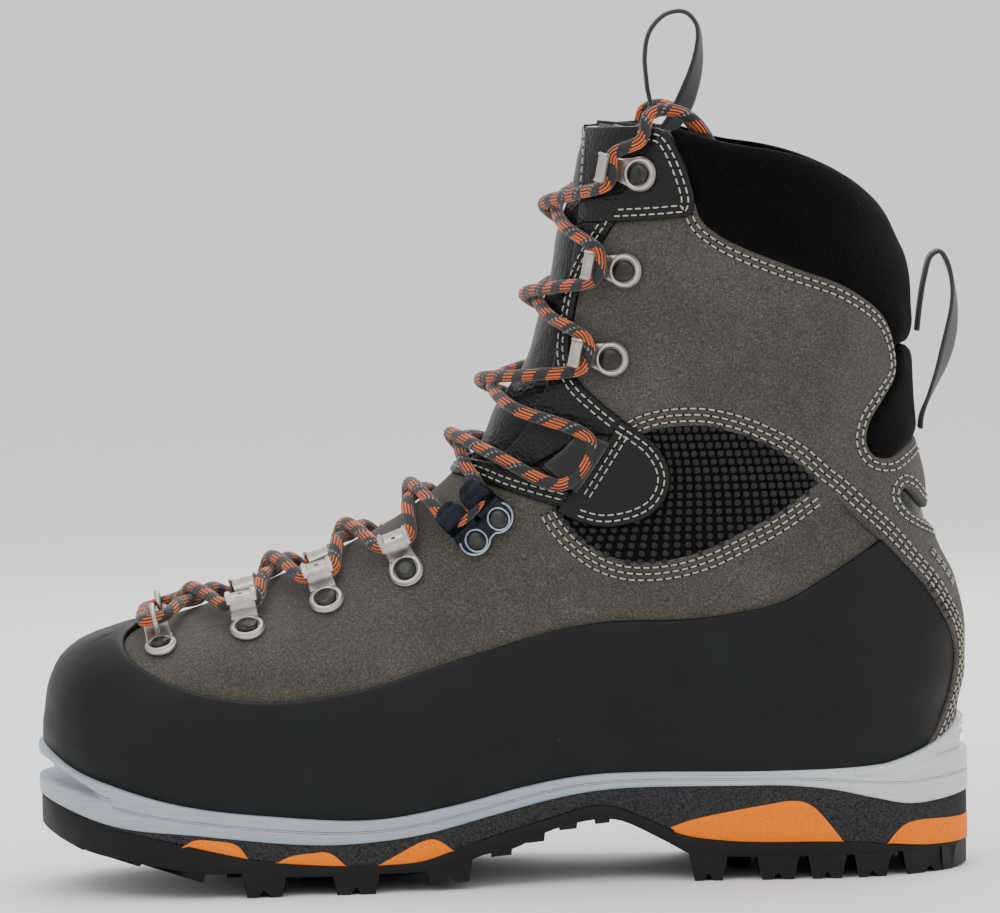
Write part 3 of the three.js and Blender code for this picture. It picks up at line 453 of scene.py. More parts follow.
def metal(name, dark, light, roughness):
    n = Nodes(name)
    mottle = n.noise(320, 4)
    color = n.ramp(mottle, (0.3, dark), (0.7, light))
    n.bump((n.noise(700, 3), 0.00008))
    rough = n.ramp(mottle, (0.3, roughness - 0.06), (0.7, roughness + 0.08))
    return n.finish(color, rough, Metallic=0.9)


def yarn(name, dark, light):
    n = Nodes(name)
    fibre = n.noise(2600, 2, 0.6)
    n.bump((fibre, 0.00015))
    return n.finish(n.ramp(fibre, (0.35, dark), (0.68, light)), 0.8, Sheen_Weight=0.2)


MATERIALS = {
    "suede": suede(),
    "leather": leather(),
    "rand": rubber("rand_rubber", "#04080a", "#0a0f11", 0.5),
    "frame": frame_plastic(),
    "midsole": foam("midsole_foam", "#19191b", "#403f41"),
    "cushion": foam("cushion_foam", "#ea7000", "#fb8000", 0.6),
    "outsole": rubber("outsole_rubber", "#0a0a0a", "#131313", 0.6, specks=False),
    "mesh": cloth("mesh_ground", "#070708", "#0f1012", 2000, 0.05),
    "dome": rubber("dome_rubber", "#111216", "#1a1c20", 0.34, specks=False),
    "softshell": cloth("softshell", "#020203", "#0b0b0d", 1700, 0.03, 0.00025),
    "lining": cloth("lining_cloth", "#17181a", "#2a2b2e", 1200, 0.4),
    "fleece": cloth("fleece", "#3a3b3d", "#66686b", 800, 0.6, 0.001),
    "plastic": rubber("black_plastic", "#121316", "#1e2023", 0.28, specks=False),
    "steel": metal("satin_steel", "#a79f98", "#c4bcb5", 0.36),
    "rivet": metal("dark_rivet", "#2a2a29", "#454442", 0.36),
    "enamel": metal("blue_enamel", "#15181d", "#262b33", 0.3),
    "worn": metal("worn_edge", "#7d8894", "#a9b2bd", 0.3),
    "webbing": yarn("webbing_yarn", "#1b1a18", "#37342f"),
    "black_webbing": yarn("black_webbing_yarn", "#040405", "#121214"),
    "thread": yarn("thread_yarn", "#8f8b83", "#c4c0b7"),
    # Painted shade: a near-black finish for the shade inside each needle hole.
    "hole": rubber("needle_hole_shade", "#070707", "#0c0c0c", 0.9, specks=False),
    "lace": yarn("lace_black", "#09090a", "#252527"),
    "lace_orange": yarn("lace_orange", "#b8430f", "#ea6f22"),
    "fleck": yarn("lace_grey", "#5a5a5d", "#8c8c8e"),
    "board": foam("board_fibre", "#b7a57f", "#d2c09a"),
}


# ---- Pieces ----
def piece(name, vertices, faces, finish, body="boot", slot=None, replaces=(), flat=None, slots=None):
    """A piece from points in millimetres. flat is the angle in degrees over which an edge stays sharp."""
    mesh = bpy.data.meshes.new(name)
    mesh.from_pydata((np.asarray(vertices) * MM).tolist(), [], [list(map(int, f)) for f in faces])
    made = bpy.data.objects.new(name, mesh)
    bpy.context.scene.collection.objects.link(made)
    for one in [finish] if isinstance(finish, str) else finish:
        mesh.materials.append(MATERIALS[one])
    if slots is not None:
        mesh.polygons.foreach_set("material_index", np.asarray(slots, np.int32))
    work = bmesh.new()
    work.from_mesh(mesh)
    bmesh.ops.remove_doubles(work, verts=work.verts, dist=0.00001)
    bmesh.ops.dissolve_degenerate(work, edges=work.edges, dist=0.000001)
    bmesh.ops.recalc_face_normals(work, faces=work.faces)
    for face in work.faces:
        face.smooth = True
    if flat:
        limit = math.radians(flat)
        for edge in work.edges:
            edge.smooth = len(edge.link_faces) == 2 and edge.calc_face_angle(0) < limit
    work.to_mesh(mesh)
    work.free()
    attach(made, body)
    if replaces:
        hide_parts(*replaces)
    return made


def rounded(distance, outer, radius, height):
    """The offset of a sheet whose edge is rounded over a width and a height."""
    t = np.clip(distance / radius, 0, 1)
    return outer - height + height * np.sqrt(np.maximum(0, 1 - (1 - t) ** 2))


def filled(outline, spacing, rings, seam=lambda a, b: False):
    """Triangles of an outline: its own points, rings beside its edge, and a grid inside."""
    edges = [(a, b) for a, b in zip(outline, np.roll(outline, -1, 0)) if not seam(a, b)]
    grid = triangular(outline.min(0) + spacing / 2, outline.max(0), spacing, 0.87)
    extra = []
    if len(grid):
        grid = grid[within(grid, outline)]
        every = zip(outline, np.roll(outline, -1, 0))
        keep = (away(grid, edges) > rings[-1] + spacing * 0.4) & (away(grid, every) > spacing * 0.3)
        extra.append(grid[keep])
    inward = inward_of(outline)
    for ring in rings:
        beside = outline + inward * ring
        beside = beside[within(beside, outline)]
        if len(beside):
            extra.append(beside[away(beside, edges) > ring * 0.93])
    points = np.vstack([outline, *extra])
    found = geometry.delaunay_2d_cdt([Vector(p) for p in points], [], [list(range(len(outline)))], 1, 1e-4)
    points = np.array([(p.x, p.y) for p in found[0]])
    return points, [list(f) for f in found[2]], away(points, edges)


def borders(faces):
    """The edges that only one face of a sheet has."""
    used = {}
    for face in faces:
        for a, b in zip(face, face[1:] + face[:1]):
            used[(min(a, b), max(a, b))] = used.get((min(a, b), max(a, b)), 0) + 1
    return [edge for edge, times in used.items() if times == 1]


def layered(faces, count, edges, start=0):
    """A sheet's faces on two layers of count points each, joined along its edges."""
    return [
        *([start + i for i in f] for f in faces),
        *([start + count + i for i in f[::-1]] for f in faces),
        *([start + a, start + b, start + count + b, start + count + a] for a, b in edges),
    ]


def slab(points, faces, upper, lower):
    """A layer between two heights over a plan outline."""
    vertices = np.vstack([np.column_stack([points, upper]), np.column_stack([points, lower])])
    return vertices, layered(faces, len(points), borders(faces))


ANGLE_MM = 80.0  # about how many millimetres one radian round the boot is


def patch(name, finish, outline, outer, inner, surface=Upper, sides=BOTH, edge=(0.8, 0.8), rings=(0.25, 0.8),
          spacing=2.6, relief=None, **settings):
    """A layer over an outline, from an inner to an outer offset off the surface, with a rounded edge."""
    x, z = np.array(outline, float).T
    front, back = surface.reach(z)
    clamped = (x <= front) | (x >= back)
    keep = ~(clamped & np.roll(clamped, 1) & np.roll(clamped, -1))
    angle, z = spaced(np.stack([angle_of(surface, x, z)[keep] * ANGLE_MM, z[keep]], -1), 2.0, closed=True).T
    front, back = surface.reach(z)
    flat = np.stack([angle / ANGLE_MM * (back - front) / 2, z], -1)

    def seam(a, b):
        ends = [surface.reach(p[1]) for p in (a, b)]
        half_turn = [math.pi * (e[1] - e[0]) / 2 for e in ends]
        return (a[0] < 0.01 and b[0] < 0.01) or (a[0] > half_turn[0] - 0.01 and b[0] > half_turn[1] - 0.01)

    points, faces, distance = filled(flat, spacing, rings, seam)
    z = points[:, 1]
    front, back = surface.reach(z)
    scale = (back - front) / 2
    angle = np.clip(points[:, 0] / scale, 0, math.pi)
    top = rounded(distance, outer, *edge)
    if relief:
        top = top + relief(front + scale * (1 - np.cos(angle)), z, distance)
    border = [(a, b) for a, b in borders(faces) if not seam(points[a], points[b])]
    count = len(points)
    vertices, every = [], []
    for side in sides:
        every += layered(faces, count, border, len(vertices) * count)
        vertices += [surface.point(side * angle, z, offset) for offset in (top, np.full(count, float(inner)))]
    return piece(name, np.vstack(vertices), every, finish, **settings)


def quads(rings, around, closed=False):
    """Faces between rings of points that follow each other."""
    faces = []
    for i in range(rings if closed else rings - 1):
        a, b = i * around, (i + 1) % rings * around
        faces += [[a + j, a + (j + 1) % around, b + (j + 1) % around, b + j] for j in range(around)]
    return faces


def tube(rings, around):
    """Faces between rings, with a lid on the first ring and on the last."""
    lids = [list(range(around))[::-1], [(rings - 1) * around + j for j in range(around)]]
    return quads(rings, around) + lids


def sweep(centres, sections, closed=False):
    """Vertices and faces of a tube: sections holds the ring of points round each centre."""
    rings, around = sections.shape[:2]
    faces = quads(rings, around, True) if closed else tube(rings, around)
    return (centres[:, None, :] + sections).reshape(-1, 3), faces


def gather(parts):
    """Several (vertices, faces) as one."""
    vertices, faces, start = [], [], 0
    for v, f in parts:
        vertices.append(v)
        faces += [[start + i for i in one] for one in f]
        start += len(v)
    return np.vstack(vertices), faces


# ---- Stitches ----
# The last size is the radius of the painted shade at each needle hole.
PITCH, THREAD, HOLE_SHADE = 3.1, 0.28, 0.42
SEAM = 0.03  # no stitch comes nearer than this angle to the middle of the front and the back
# A stitch: shares of its pitch, and the thread's height over the leather and its relative radius there.
STITCH = np.array([(0.1, -0.25, 0.6), (0.25, 0.12, 1), (0.5, 0.22, 1.1), (0.75, 0.12, 1), (0.9, -0.25, 0.6)])
stitches = {"boot": [], "tongue_body": []}
# Dark cones of painted shade at the needle holes, for each body.
needle_hole_shades = {"boot": [], "tongue_body": []}


def cones(count, first):
    """Faces from a ring of points to the two points after it: one over the last ring, one under the first."""
    tip = first + count
    ring = [(j, (j + 1) % count) for j in range(count)]
    return [[first + a, first + b, tip] for a, b in ring] + [[b, a, tip + 1] for a, b in ring]


def moved(angle, z, distance):
    """A line of the upper moved sideways along it in steps of 1 mm, to the left of its run in the side view."""
    steps = max(1, math.ceil(abs(distance)))
    for _ in range(steps):
        round_it = (skin(angle + 0.01, z) - skin(angle - 0.01, z)) / 0.02
        up = skin(angle, z + 0.5) - skin(angle, z - 0.5)
        run = unit(np.gradient(skin(angle, z), axis=0))
        side = np.cross(unit(np.cross(round_it, up)), run) * distance / steps
        a, b, c = np.sum(round_it**2, 1), np.sum(round_it * up, 1), np.sum(up**2, 1)
        d, e = np.sum(round_it * side, 1), np.sum(up * side, 1)
        angle, z = angle + (c * d - b * e) / (a * c - b * b), z + (a * e - b * d) / (a * c - b * b)
    return angle, z


def sew(line, offset, beside=0.0, body="boot"):
    """A row of stitches on both sides beside a line of the side view, at a height or a function of the place, with
    a dark cone of painted shade at each needle hole.
    """
    x, z = spaced(line, 0.6).T
    front, back = Upper.reach(z)
    seen = (x > front + 0.05) & (x < back - 0.05)
    row, z = angle_of(Upper, x, z)[seen], z[seen]
    if beside:
        row, z = moved(row, z, beside)
    seen = (row > SEAM) & (row < math.pi - SEAM)
    row, z = row[seen], z[seen]
    front, back = Upper.reach(z)
    x = front + (back - front) * (1 - np.cos(row)) / 2
    height = offset(x, z) if callable(offset) else np.full(len(x), float(offset))
    turn = circle(6)
    for side in BOTH:
        low = Upper.point(side * row, z, height)
        normal = unit(Upper.point(side * row, z, height + 1.0) - low)
        length = measured(low)
        for k in range(int(length[-1] / PITCH)):
            s = (k + STITCH[:, 0]) * PITCH
            centre, up = at(low, length, s), unit(at(normal, length, s))
            run = unit(at(low, length, s + 0.1) - at(low, length, s - 0.1))
            across = unit(np.cross(run, up))
            size = THREAD * STITCH[:, 2][:, None, None]
            centre = centre + up * STITCH[:, 1][:, None]
            stitches[body].append(sweep(centre, size * round_about(turn, up, across)))
            # A dark double cone at each needle hole paints the shade inside the hole between two stitches.
            hole = at(low, length, np.array([k * PITCH]))[0] + up[0] * 0.03
            disc = HOLE_SHADE * round_about(turn, run[:1], across[:1])[0]
            tips = np.vstack([hole + disc, hole + up[0] * 0.12, hole - up[0] * 0.3])
            needle_hole_shades[body].append((tips, cones(6, 0)))


def on_band(x, z):
    return 0.25 + band_relief(x, z, None)


def rows(line, offsets, height, turn=1, **settings):
    for one in offsets:
        sew(line, height, one * turn, **settings)


# ---- Side-view outlines ----
FRAME_TOP = curve([
    (-157, 50.3), (-146, 43), (-129, 36.9), (-108, 31.3), (-78, 26.9), (-44, 24.6), (-17, 28.3), (9, 33.9),
    (30, 36.6), (88, 36.4), (122, 37.2), (137, 38.6), (150, 39.6), (159, 39.8),
])
FRAME_BOTTOM = curve([
    (-158, 33.2), (-131, 24.5), (-104, 21.5), (-69, 17.3), (-52, 16.9), (-29, 19), (-2, 25.1), (17, 29.3),
    (35, 31.6), (75, 31.8), (95, 31.5), (110, 29.8), (124, 26.5), (137, 23.8), (159, 25.7),
])
MIDSOLE_BOTTOM = curve([
    (-158, 32.5), (-131, 23.9), (-120, 21.4), (-106, 18.3), (-87, 13.6), (-75, 11.6), (-55, 10), (-43, 9.8),
    (-29, 10.6), (-19, 13.6), (15, 23), (32, 26.6), (46, 22), (58, 16.3), (76, 13.5), (112, 12.6),
    (126, 11.3), (138, 9.7), (159, 8.9),
])
OUTSOLE_BOTTOM = curve([
    (-158, 23), (-141.5, 16.3), (-122, 12.2), (-101, 8.6), (-89, 8.4), (-73, 6.6), (-41, 6.6), (-19, 7.5),
    (-8, 11.4), (2, 13), (15, 18.6), (30, 21.6), (38, 21), (53, 13.7), (62, 9), (75, 8), (159, 8),
])
RAND_TOP = curve([
    (-108, 95), (-117, 90), (-126.4, 84.4), (-124, 79), (-111, 71.4), (-94, 66.3), (-77, 64.5), (-60, 65.8),
    (-42, 68.8), (-20, 74.9), (2, 80.8), (19, 85), (36, 87.4), (62, 87.8), (79, 89.7), (94, 93), (107, 100),
    (127, 112.5),
])
BAND_EDGE = curve([
    (106.7, 132.4), (112, 128.2), (119, 120.6), (127, 112.5), (134.5, 103.8), (141.4, 95.6), (146.3, 87.5),
    (149.1, 81.6), (150.6, 74.3), (150.4, 68.5), (148.6, 60.5), (145.5, 51.8), (141, 43.5), (136, 36),
])
FLEX_LOWER = curve([
    (19, 128), (21, 123.4), (27, 116), (35, 110), (43, 107.4), (55, 107.4), (68, 110.5), (80, 116),
    (92, 122.2), (106.7, 132.4),
])
FLEX_UPPER = curve([(106.7, 132.4), (99, 139.6), (89, 145.6), (77, 150.4), (65, 152.4), (49, 150), (34, 138)])
CUFF_TOP = curve([
    (59.5, 251.6), (65, 239), (67.4, 228), (69.5, 221.5), (75, 216.5), (83, 212), (100, 205), (118, 197.7),
    (130, 188), (134, 178), (134.3, 167), (129.5, 159), (125, 152), (123.8, 145.5), (126.4, 140.8),
    (131.5, 139.6), (137, 142.5), (146, 149),
])
COLLAR_TOP = curve([
    (62, 252), (68, 250), (77.4, 247), (93.8, 244.4), (103.9, 241.9), (113, 238.4), (121.5, 233.6),
    (130.4, 225), (136, 213), (142, 200),
])
FACING_FRONT = curve([(33.5, 258), (31, 236), (27.6, 212), (22, 184), (17, 166), (8, 150), (-2, 140)])
FACING_REAR = curve([
    (41, 221), (30.6, 204), (27, 191), (25.2, 178), (27, 169.5), (35, 161), (43.5, 154), (49, 150),
])
HOOK_PATCH = curve([
    (50, 253), (57.5, 251.6), (61, 248), (65.6, 236.7), (67.4, 227.5), (65.5, 223.2), (60, 222.3),
    (41, 221),
])
ANKLE_PATCH = curve([
    (41.5, 155.3), (47, 151.5), (52.5, 147), (56.3, 141), (57.6, 135), (56, 129), (52, 124), (45, 120.6),
    (38, 119.3), (33, 119.4), (27, 121), (19, 124.6),
])
SLOT = curve([
    (160, 114.2), (147, 116), (141.5, 122), (137, 128), (135, 129.3), (133.4, 127), (134.8, 123.4),
    (138.8, 119.2), (143, 115.2), (146, 110.2), (160, 104.8),
])

AHEAD, BEHIND = -175, 175  # an outline that reaches past an end of the boot joins across it


# ---- The sole unit ----
def height_along(line):
    order = np.argsort(line[:, 0])
    return lambda x: np.interp(x, line[order, 0], line[order, 1])


frame_top, frame_bottom = height_along(FRAME_TOP), height_along(FRAME_BOTTOM)
midsole_bottom, outsole_bottom = height_along(MIDSOLE_BOTTOM), height_along(OUTSOLE_BOTTOM)
AROUND = 560


def sole_edge(inset_by, angles):
    return Wall.point(angles, np.zeros(len(angles)), -np.asarray(inset_by) + 0 * angles)


def crampon_frame():
    """The frame as a ring: its profile has a lip over the toe groove and a ledge at the heel."""
    angles = circle(AROUND)
    x = sole_edge(0, angles)[:, 0]
    top, bottom = frame_top(x), frame_bottom(x)
    groove = ease(133, 143, -x)
    roof = np.interp(-x, [131, 134, 154, 158], [34, 34.5, 45.3, 46.2])
    floor = np.interp(-x, [131, 134, 154, 158], [33, 33.2, 38.2, 38.8])
    gap_top = np.where(x < -131, roof, (top + bottom) / 2 + 0.4)
    gap_low = np.where(x < -131, floor, (top + bottom) / 2 - 0.4)
    depth = 5.2 * groove
    flare = 1.5 * ease(30, 70, x) * (1 - ease(118, 150, x))
    profile = [
        (13, top), (3.4, top + 0.1), (0.9 + flare, top), (0.3 + flare, top - 0.25), (flare, top - 0.9),
        (flare * 0.6, gap_top + 0.9), (0.3 * groove, gap_top + 0.2), (depth * 0.55, gap_top - 0.2),
        (depth * 0.9, gap_top - 1.0 * groove), (depth, (gap_top + gap_low) / 2),
        (depth * 0.9, gap_low + 0.8 * groove), (depth * 0.55, gap_low + 0.1), (0.3 * groove, gap_low - 0.2),
        (0, gap_low - 0.9), (0, bottom + 0.9), (0.25, bottom + 0.25), (0.9, bottom), (13, bottom),
    ]
    rings = []
    for by, z in profile:
        ring = sole_edge(by + 0 * x, angles)
        ring[:, 2] = z
        rings.append(ring)
    return np.stack(rings, 1).reshape(-1, 3), quads(AROUND, len(profile), closed=True)


piece("frame_unit", *crampon_frame(), "frame", slot="frame", replaces=["crampon_frame"])
cup_edge = curve([
    (116, 36.5), (128, 38.4), (139.5, 42.4), (145, 45.6), (149.1, 49.3), (152.9, 54.3), (154.6, 59),
    (158, 60.6), (165, 61),
])
heel_cup = region(cup_edge, [(BEHIND, 61), (BEHIND, 34), (116, 34)])
patch("heel_cup", "frame", heel_cup, 4.8, 2.2, edge=(1.2, 1.4), rings=(0.3, 0.7, 1.2), slot="frame")
# Short grip ribs behind the heel cup.
for i, z in enumerate((45.3, 48.0, 50.7)):
    start = 148 + 1.3 * i
    upper = curve([(start, z), (start + 3, z + 0.7), (BEHIND, z + 0.9)])
    rib = region(upper, curve([(BEHIND, z - 0.7), (start + 3, z - 0.5), (start, z)]))
    patch(f"heel_rib_{i + 1}", "frame", rib, 5.6, 4.4, edge=(0.6, 0.7), rings=(0.2, 0.6), spacing=1.5,
          slot="frame")


def slab_between(name, finish, inset_by, top, bottom, edge, **settings):
    """A layer of the sole between two heights, which depend on x."""
    outline = sole_edge(inset_by, circle(400))[:, :2]
    points, faces, distance = filled(outline, 5.0, (edge * 0.35, edge))
    x = points[:, 0]
    drop = edge - rounded(distance, edge, edge, edge)
    return piece(name, *slab(points, faces, top(x) - drop, bottom(x) + drop), finish, flat=50, **settings)


slab_between("midsole_layer", "midsole", 0.45, lambda x: frame_bottom(x) + 0.1, midsole_bottom, 0.3,
             slot="midsole", replaces=["midsole"])
slab_between("outsole_layer", "outsole", 0.7, lambda x: midsole_bottom(x) + 0.05, outsole_bottom, 0.5,
             slot="outsole", replaces=["outsole"])

CUSHIONS = [
    [(-108, 17.6), (-105, 19.6), (-102.8, 20.3), (-96, 19.6), (-91.7, 18.8), (-89, 17), (-86.5, 13.2)],
    [(-77.5, 11.6), (-74.5, 13), (-71.3, 14), (-65.2, 14.6), (-61, 14.8), (-58, 13.6), (-54, 9.8)],
    [(-43.8, 9.6), (-37, 13.2), (-29.9, 16.8), (-25.8, 17.8), (-22.8, 16.8), (-18.5, 13.4)],
    [(54.6, 18.4), (62, 20.8), (75, 23.4), (88, 25.6), (95, 26.6), (99.5, 26.2), (103, 24.4), (106.4, 20.8),
     (112.4, 12.4)],
    [(125.8, 11), (128.6, 14.6), (131.6, 17.2), (136, 18.2), (148, 17.6), (BEHIND, 17.6)],
]
for i, line in enumerate(CUSHIONS):
    top = curve(line)
    ends = np.linspace(top[-1][0], top[0][0], max(4, int(abs(top[-1][0] - top[0][0]) / 2)))
    floor = np.column_stack([ends, midsole_bottom(np.clip(ends, -157, 158)) - 0.2])
    patch(f"cushion_insert_{i + 1}", "cushion", region(top, floor[1:-1]), -0.3, -9, surface=Wall,
          edge=(0.35, 0.3), rings=(0.3,), spacing=2.5, slot="cushion", replaces=[f"cushion_{i + 1}"])

half_turn = np.linspace(0.001, math.pi - 0.001, 500)
outsole_edges = {side: sole_edge(0.75, side * half_turn)[:, :2] for side in BOTH}


def edge_y(x, side):
    return np.interp(x, *outsole_edges[side].T)


def prism(profile, low_y, high_y):
    """A side-view profile between two places across the boot, each a number or a function of x."""
    p = spaced(profile, 3, closed=True)
    ends = [y(p[:, 0]) if callable(y) else np.full(len(p), float(y)) for y in (low_y, high_y)]
    return np.vstack([np.column_stack([p[:, 0], y, p[:, 1]]) for y in ends]), tube(2, len(p))


# Lugs as (front, rear, height of the lower face), profiles of those that close the ends, and low bars.
SIDE_LUGS = [
    (-88, -74, 0.4), (-58, -43, 0), (-27, -12, 2.8), (61.5, 73, 0), (84, 97, 0), (101, 113, 0),
    (116.5, 128, 0), (133, 151, 0),
]
MIDDLE_LUGS = [
    (-119, -105, 6.2), (-96, -82, 2), (-71, -57, 0.2), (-41, -28, 1.2), (74, 83, 0.6), (106, 116, 0.6),
]
TOE_LUG = [
    (-157.2, 23), (-150, 19.6), (-141.5, 16), (-140.5, 16.8), (-136, 15.2), (-122.5, 11.4), (-121.5, 12.2),
    (-101.4, 5.9), (-98, 14), (-130, 22), (-157.2, 30),
]
HEEL_LUG = [(146, 14), (146.5, 0.6), (147, 0.1), (155.6, 0.8), (156.4, 14)]
WAIST_BARS = ((-6, 2), (6, 13), (17, 24), (29, 35))


def lug_profile(front, rear, bottom, notch=True):
    mid, roof = (front + rear) / 2, 16 if bottom > 2 else 12.5
    foot = [(front + 1.2, bottom)]
    if notch and rear - front > 9:
        foot += [(mid - 2, bottom), (mid, bottom + 2.4), (mid + 2, bottom)]
    foot += [(rear - 1.2, bottom), (rear - 1.0, bottom + 0.5)]
    return [(front - 1.2, roof), (front + 1.0, bottom + 0.5), *foot, (rear + 1.6, roof)]


def lugs():
    parts = []
    for front, rear, bottom in SIDE_LUGS:
        inner = 13 if front > 50 else 20
        for side in BOTH:
            def outer(x, side=side, inner=inner):
                y = edge_y(x, side)
                return np.where(np.abs(y) > inner + 1, y, side * (inner + 1))

            parts.append(prism(lug_profile(front, rear, bottom), outer, side * inner))
    for side in BOTH:
        def edge(x, side=side):
            return edge_y(x, side)

        def inside(x, side=side):
            return middle(x) + side * np.minimum(7, np.abs(edge_y(x, side) - middle(x)) * 0.5)

        parts.append(prism(TOE_LUG, edge, inside))
        for front, rear in WAIST_BARS:
            low = float(outsole_bottom((front + rear) / 2))
            bar = [(front, low + 3), (front + 0.6, low - 1.6), (rear - 0.6, low - 1.2), (rear, low + 3)]
            parts.append(prism(bar, edge, side * 10))
    for front, rear, bottom in MIDDLE_LUGS:
        centre = float(middle(np.array(front)))
        reach = 12 if front < 0 else 9
        parts.append(prism(lug_profile(front, rear, bottom, False), centre - reach, centre + reach))
    ends = [lambda x, side=side: side * np.minimum(side * edge_y(x, side), 26) for side in BOTH]
    parts.append(prism(HEEL_LUG, *ends))
    return gather(parts)


lug_piece = piece("sole_lugs", *lugs(), "outsole", slot="outsole", flat=30)
bevel = lug_piece.modifiers.new("edges", "BEVEL")
bevel.width, bevel.segments, bevel.limit_method, bevel.angle_limit = 0.0005, 2, "ANGLE", math.radians(35)

# ---- The upper ----
vamp_region = region(
    [(-135, 110), (-135, 76), (-115, 63), (-94, 58), (-60, 58), (-20, 67), (19, 77), (62, 80), (94, 85),
     (112, 96), (133, 106)],
    BAND_EDGE[:36][::-1] + [1.5, 1.5], FLEX_LOWER[::-1], [(19, 139.6), (-60, 139.6)],
)
patch("vamp_leather", "suede", vamp_region, *SUEDE, slot="suede", replaces=["vamp"])
rand_region = region(
    RAND_TOP, BAND_EDGE[31:] + [3.5, 1.5], (FRAME_TOP - [0, 1.2])[::-1][18:], [(AHEAD, 50), (AHEAD, 105)],
)


def rand_relief(x, z, distance):
    """The rand is thicker towards its lower edge, over a faint step."""
    above = z - frame_top(x)
    return 0.35 * (1 - ease(9, 13, above)) - 0.6 * ease(105, 135, x)


patch("toe_rand", "rand", rand_region, 2.3, 0.2, edge=(1.5, 1.3), rings=(0.3, 0.8, 1.5), relief=rand_relief,
      slot="rand", replaces=["rand"])

cuff_region = region(
    [(44, 253)], CUFF_TOP, [(BEHIND, 150), (BEHIND, 114.2)], SLOT, [(BEHIND, 104.8), (BEHIND, 36)],
    BAND_EDGE[::-1], FLEX_UPPER, [(21, 130), (19, 139.6), (17, 150)], FACING_FRONT[::-1][18:-4] + [3, 0],
)


def band_relief(x, z, distance):
    """The heel band lies on the vamp and the rand, and the cuff flush with them."""
    return 2.7 * (1 - ease(118, 138, z + 0.5 * (120 - x)))


patch("cuff_leather", "suede", cuff_region, *SUEDE, edge=(0.9, 0.9), rings=(0.25, 0.9), relief=band_relief,
      slot="suede", replaces=["cuff", "heel_band"])

flex_region = region(FLEX_LOWER - [0, 2.5], FLEX_UPPER + [0, 2.5])
for side, label in SIDES:
    patch(f"flex_mesh_{label}", "mesh", flex_region, -0.9, -2.2, sides=(side,), slot="mesh",
          replaces=[f"flex_panel_{label}"])


DOME_PITCH = 3.2
DOME_RINGS = ((1.5, 0), (1.44, 0.55), (1.05, 1.05), (0.5, 1.3))  # radius and height


def domes():
    outline = region(FLEX_LOWER, FLEX_UPPER)
    parts = []
    x, z = outline.T
    scale = float((back_at(130) - front_at(130)) / 2)
    flat = np.stack([angle_of(Upper, x, z) * scale, z], -1)
    grid = triangular(flat.min(0), flat.max(0), DOME_PITCH, 0.866)
    grid = grid[within(grid, flat) | (away(grid, zip(flat, np.roll(flat, -1, 0))) < 1.0)]
    turn = circle(9)
    for side in BOTH:
        angle = side * grid[:, 0] / scale
        base = Upper.point(angle, grid[:, 1], np.full(len(grid), -1.1))
        normal = skin_normal(angle, grid[:, 1])
        for p, n in zip(base, normal):
            a = unit(np.cross(n, [0, 0, 1.0]))
            b = np.cross(n, a)
            disc = round_about(turn, a[None], b[None])[0]
            rings = [p + n * h + r * disc for r, h in DOME_RINGS]
            parts.append((np.vstack([*rings, p + n * 1.36, p - n * 0.2]), quads(4, 9) + cones(9, 27)))
    return gather(parts)


piece("flex_domes", *domes(), "dome", slot="mesh")

# Padded collar and the soft panel behind the ankle: both swell between their seams.
collar_region = region(
    COLLAR_TOP, [(BEHIND, 198), (BEHIND, 178.4), (140, 177.6), (134, 177)], CUFF_TOP[::-1][62:] + [-0.5, -0.5],
)


def quilted(x, z, distance):
    """Shallow folds of a padded panel."""
    return 0.4 * np.sin(0.21 * x + 0.13 * z) * np.sin(0.19 * z - 0.06 * x) * ease(2, 10, distance)


collar = patch("collar_pad", "softshell", collar_region, 1.7, -4.2, edge=(9, 3.4),
               rings=(0.4, 1.1, 2.4, 4.2, 6.5), spacing=2.4, relief=quilted, slot="softshell", replaces=["collar"])
achilles_region = region(CUFF_TOP[-64:] + [-0.6, -0.4], [(BEHIND, 150), (BEHIND, 176.6), (137, 176.2)])
achilles = patch("achilles_pad", "softshell", achilles_region, 1.2, -3.0, edge=(6, 2.8),
                 rings=(0.4, 1.1, 2.4, 4.2), spacing=2.4, slot="softshell", replaces=["achilles_flex"])

# Stiffeners and foam between the leather and the lining.
toe_inside = region([(AHEAD, 22), (-96.6, 22), (-100.8, 95), (AHEAD, 95)])
heel_inside = region([(62, 34), (BEHIND, 34), (BEHIND, 118), (128, 116), (84, 78), (66, 60)])
for name, covered, node in (("toe", toe_inside, "toe_puff"), ("heel", heel_inside, "heel_counter")):
    patch(f"{name}_stiffener", "plastic", covered, *STIFFENER, slot="plastic", replaces=[node], spacing=4)
foam_region = region(
    [(-95, 26), (61, 36), (65, 61), (83, 79.5), (127, 117.6), (133, 135), (122, 146), (124, 153), (132.5, 166),
     (128.5, 187), (117, 196), (99, 203), (82, 210), (66, 221), (62, 238), (57, 249), (36, 250)],
    FACING_FRONT[10:] + [0.8, 0], [(-10, 136), (-30, 122), (-54, 110.5), (-94, 94)],
)
patch("foam_layer", "fleece", foam_region, *STIFFENER, slot="fleece", replaces=["padding"], spacing=4)
lining_region = region(
    [(31, 60), (BEHIND, 60), (BEHIND, 190)], COLLAR_TOP[::-1][6:] - [0.6, 1.5], [(52, 251.2), (44, 251), (34, 251)],
    FACING_FRONT[9:] + [0.6, 0], [(-16, 128), (-30, 110), (-30, 60)],
)
patch("lining_cloth", "lining", lining_region, *LINING, edge=(1.2, 1.2), rings=(0.4, 1.2), spacing=4,
      slot="lining", replaces=["lining"])

# ---- The tongue ----
tongue_region = region(
    [(-70, 132), (-20, 132), (6, 132), (14, 144)], FACING_FRONT[::-1][4:-5] + [7, 0],
    [(38, 252.6), (30, 253.6), (-20, 254)],
)


